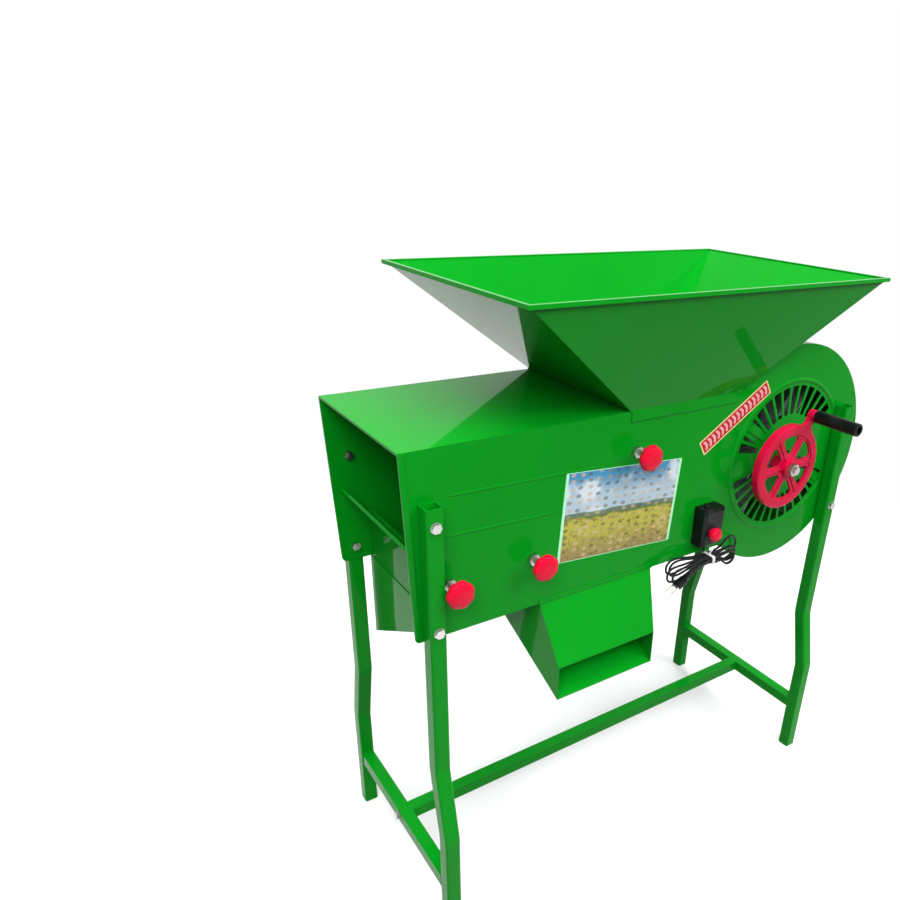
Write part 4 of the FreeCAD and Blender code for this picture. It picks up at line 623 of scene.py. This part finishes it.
def label(name, centre, size, tilt, corner, finish):
    bm = bmesh.new()
    bmesh.ops.create_grid(bm, x_segments=1, y_segments=1, size=1)
    bmesh.ops.transform(bm, matrix=label_frame(centre, size, tilt), verts=bm.verts)
    bmesh.ops.bevel(bm, geom=bm.verts[:], offset=corner, offset_type="OFFSET", segments=4, profile=0.5,
                    affect="VERTICES", material=-1)
    grown = bmesh.ops.extrude_face_region(bm, geom=bm.faces[:])["geom"]
    front = [part for part in grown if isinstance(part, bmesh.types.BMVert)]
    bmesh.ops.translate(bm, verts=front, vec=(0, -FILM, 0))
    piece = make_piece(name, bm, finish)
    piece.data.shade_flat()


def label_place(g, centre, size, tilt):
    """The label's own coordinates: -1 to 1 across, then up."""
    own = g.node("Mapping", {"vector_type": "TEXTURE"}, Vector=g.place, Location=(centre[0], 0, centre[1]),
                 Rotation=(0, tilt, 0), Scale=(size[0] / 2, 1, size[1] / 2))
    parts = g.node("SeparateXYZ", Vector=own)
    return parts.out("X"), parts.out("Z")


# %% The picture label
PICTURE_CENTRE, PICTURE_SIZE, PICTURE_TILT = (-0.1095, 0.6943), (0.232, 0.147), math.radians(4.3)
BORDER_GREEN = (0.42, 0.86, 0.55, 1)


def picture_print():
    """Sky, a hedge and a ripe field, strewn with seeds."""
    g = Graph("picture_print")
    across, upward = label_place(g, PICTURE_CENTRE, PICTURE_SIZE, PICTURE_TILT)
    cloud = noise(g, 24, 4.0)
    ears = noise(g, 230, 5.0)
    soil = noise(g, 46, 3.0)
    sky = tint(g, upward.rise(0.35, 0.95), (0.42, 0.53, 0.62, 1), (0.045, 0.25, 0.45, 1))
    sky = tint(g, cloud.rise(0.50, 0.66) * 0.75, sky, (0.72, 0.76, 0.80, 1))
    field = tint(g, (upward + cloud * 0.5).rise(-0.95, 0.0), (0.26, 0.18, 0.08, 1), (0.46, 0.42, 0.07, 1))
    field = tint(g, ears.rise(0.52, 0.68) * 0.7, field, (0.13, 0.12, 0.035, 1))
    field = tint(g, soil.rise(0.56, 0.70) * 0.5, field, (0.62, 0.50, 0.26, 1))
    picture = tint(g, (upward + soil * 0.12).rise(0.02, 0.06), field, sky)
    hedge = (upward + soil * 0.25).rise(0.02, 0.09) * (1 - (upward + soil * 0.12).rise(0.12, 0.16))
    picture = tint(g, hedge * 0.85, picture, (0.060, 0.120, 0.035, 1))
    lattice = g.node("CombineXYZ", X=across * 6.5, Y=upward * 6.5, Z=0.0)
    seed = g.node("TexVoronoi", {"voronoi_dimensions": "2D"}, Vector=lattice, Scale=1.0, Randomness=0.30)
    shade = g.node("SeparateColor", Color=seed.out("Color")).out("Red")
    grain = tint(g, shade.rise(0.2, 0.8), (0.10, 0.075, 0.035, 1), (0.60, 0.42, 0.24, 1))
    husk = seed.out("Distance").rise(0.22, 0.30)
    picture = tint(g, (1 - husk) * 0.6, picture, grain)
    edge = across.math("ABSOLUTE").math("MAXIMUM", upward.math("ABSOLUTE") - 0.028)
    picture = tint(g, edge > 0.958, picture, BORDER_GREEN)
    return g.finish(Base_Color=picture, Roughness=ears * 0.1 + 0.30, Specular_IOR_Level=0.12,
                    Normal=relief(g, cloud, 0.0002), Coat_Weight=0.3, Coat_Roughness=0.1, Coat_IOR=1.2)


label("picture_label", PICTURE_CENTRE, PICTURE_SIZE, PICTURE_TILT, 0.002, picture_print())

# %% The chevron strip
STRIP_CENTRE, STRIP_SIZE, STRIP_TILT = (0.1273, 0.8100), (0.170, 0.028), math.radians(-31.5)


def chevron_print():
    """Red and cream chevrons in a cream frame."""
    g = Graph("chevron_print")
    across, upward = label_place(g, STRIP_CENTRE, STRIP_SIZE, STRIP_TILT)
    tall = upward.math("ABSOLUTE")
    long = across.math("ABSOLUTE")
    ink = noise(g, 500, 4.0)
    bar = (across * 8.5 + tall * 0.55).math("FRACT")
    chevrons = (bar > 0.48) * (1 - (tall > 0.62)) * (1 - (long > 0.93))
    red = tint(g, ink, (0.43, 0.006, 0.020, 1), (0.56, 0.014, 0.035, 1))
    colour = tint(g, chevrons * 0.9, red, (0.80, 0.42, 0.42, 1))
    frame_line = (long > 0.972).math("MAXIMUM", tall > 0.84)
    colour = tint(g, frame_line, colour, (0.80, 0.66, 0.30, 1))
    return g.finish(Base_Color=colour, Roughness=ink * 0.1 + 0.3, Specular_IOR_Level=0.12,
                    Coat_Weight=0.3, Coat_Roughness=0.1, Coat_IOR=1.2)


label("chevron_strip", STRIP_CENTRE, STRIP_SIZE, STRIP_TILT, 0.001, chevron_print())

# %% [markdown]
# ## Weld beads and pressed lines
# The frame is welded by hand, and the hopper's foot is tacked to the sheets. A bead is a row of small
# ripples, one for each dip of the rod. Its outline is a wavy line beside the joint, and one spin about the
# joint turns it into a closed bead. A pressed line in a sheet is the same without ripples, and very flat.

# %% Beads along a joint


def bead(bm, start, end, radius, step=0.0028, ripple=0.20, proud=1.0):
    """A closed rippled bead from start to end; proud flattens it towards the front sheet."""
    start, end = Vector(start), Vector(end)
    length = (end - start).length
    count = 2 * max(2, round(length / step))
    known = set(bm.verts)
    outline = [bm.verts.new((0, 0, 0))]
    for n in range(count + 1):
        wide = 0.55 if n in (0, count) else 1 - ripple * (n % 2)
        outline.append(bm.verts.new((radius * wide, 0, length * (n + 0.5) / (count + 1))))
    outline.append(bm.verts.new((0, 0, length)))
    edges = [bm.edges.new(pair) for pair in zip(outline, outline[1:])]
    bmesh.ops.spin(bm, geom=outline + edges, cent=(0, 0, 0), axis=(0, 0, 1), angle=math.tau, steps=10,
                   use_merge=True, use_duplicate=False)
    turn = (end - start).to_track_quat("Z", "Y").to_matrix().to_4x4()
    new_verts = [v for v in bm.verts if v not in known]
    onto_joint = Matrix.Translation(start) @ Matrix.Diagonal((1, proud, 1, 1)) @ turn
    bmesh.ops.transform(bm, matrix=onto_joint, verts=new_verts)


BAR_END, BAR_HALF, BAR_LOW, BAR_HIGH = 0.1665, 0.0095, 0.101, 0.123
BAR_MIDDLES, BAR_SIDES, CORNER_ROOM = (-0.443, 0.415), (-0.011, 0.011), 0.001
LEVEL_BEAD, UPRIGHT_BEAD = 0.0020, 0.0018
beads = bmesh.new()
for bar_x in BAR_MIDDLES:
    for joint in (-BAR_END, BAR_END):
        for level_z in (BAR_HIGH, BAR_LOW):
            bead(beads, (bar_x - BAR_HALF, joint, level_z), (bar_x + BAR_HALF, joint, level_z), LEVEL_BEAD)
        for side in BAR_SIDES:
            foot = (bar_x + side, joint, BAR_LOW + CORNER_ROOM)
            head = (bar_x + side, joint, BAR_HIGH - CORNER_ROOM)
            bead(beads, foot, head, UPRIGHT_BEAD)
make_piece("leg_weld_beads", beads, finishes["green_paint"])

HOPPER_FOOT = ((-0.1035, 0.8545), (0.1235, 0.8535))
TACK_HALF, TACK_RISE, TACK_RADIUS, TACK_STEP, TACK_RIPPLE = 0.006, 0.001, 0.0026, 0.004, 0.25
tacks = bmesh.new()
for foot_x, foot_z in HOPPER_FOOT:
    for face in (-0.1400, 0.1400):
        bead(tacks, (foot_x - TACK_HALF, face, foot_z), (foot_x + TACK_HALF, face, foot_z + TACK_RISE),
             TACK_RADIUS, TACK_STEP, TACK_RIPPLE)
make_piece("hopper_tack_welds", tacks, finishes["green_paint"])

# %% Lines pressed in the front sheet
PRESSED_LINES = (((-0.414, 0.7825), (-0.150, 0.7755)), ((-0.417, 0.7235), (-0.228, 0.7180)),
                 ((-0.069, 0.8350), (0.075, 0.8390)))
LINE_RADIUS, LINE_STEP, LINE_PROUD, SHEET_FACE = 0.0022, 0.02, 0.22, -0.140
lines = bmesh.new()
for (left_x, left_z), (right_x, right_z) in PRESSED_LINES:
    bead(lines, (left_x, SHEET_FACE, left_z), (right_x, SHEET_FACE, right_z), LINE_RADIUS, LINE_STEP,
         ripple=0.0, proud=LINE_PROUD)
make_piece("pressed_sheet_lines", lines, finishes["green_paint"])

# %% [markdown]
# ## The speed controller's trim
# The controller is a moulded black box with a turning dial. A raised collar stands round the dial, and the
# cover is held by four small domed screws. Both are round, so each is an outline spun about its own middle,
# which takes fewer steps than shaping a cylinder.

# %% Collar and screws
BOX_FRONT, DIAL_X, DIAL_Z = -0.168, 0.076, 0.618


def spun(bm, outline, centre, steps):
    """Spins points, each a radius and a depth from the box's front, about the axis through centre."""
    known = set(bm.verts)
    points = [bm.verts.new((radius, BOX_FRONT + depth, 0)) for radius, depth in outline]
    edges = [bm.edges.new(pair) for pair in zip(points, points[1:])]
    bmesh.ops.spin(bm, geom=points + edges, cent=(0, 0, 0), axis=(0, 1, 0), angle=math.tau, steps=steps,
                   use_merge=True, use_duplicate=False)
    new_verts = [v for v in bm.verts if v not in known]
    bmesh.ops.translate(bm, verts=new_verts, vec=(centre[0], 0, centre[1]))


COLLAR_OUTLINE = ((0.0139, 0.0004), (0.0139, -0.0010), (0.0145, -0.0014), (0.0152, -0.0010),
                  (0.0158, 0.0004), (0.0139, 0.0004))
SCREW_OUTLINE = ((0.0, 0.0003), (0.0022, 0.0003), (0.0021, -0.0003), (0.0012, -0.0007), (0.0, -0.0008))
SCREW_PLACES = ((0.0625, 0.5965), (0.0995, 0.5965), (0.0625, 0.6555), (0.0995, 0.6555))

collar = bmesh.new()
spun(collar, COLLAR_OUTLINE, (DIAL_X, DIAL_Z), 64)
make_piece("dial_collar", collar, finishes["black_plastic"])

screws = bmesh.new()
for place in SCREW_PLACES:
    spun(screws, SCREW_OUTLINE, place, 16)
make_piece("controller_screws", screws, finishes["black_plastic"])
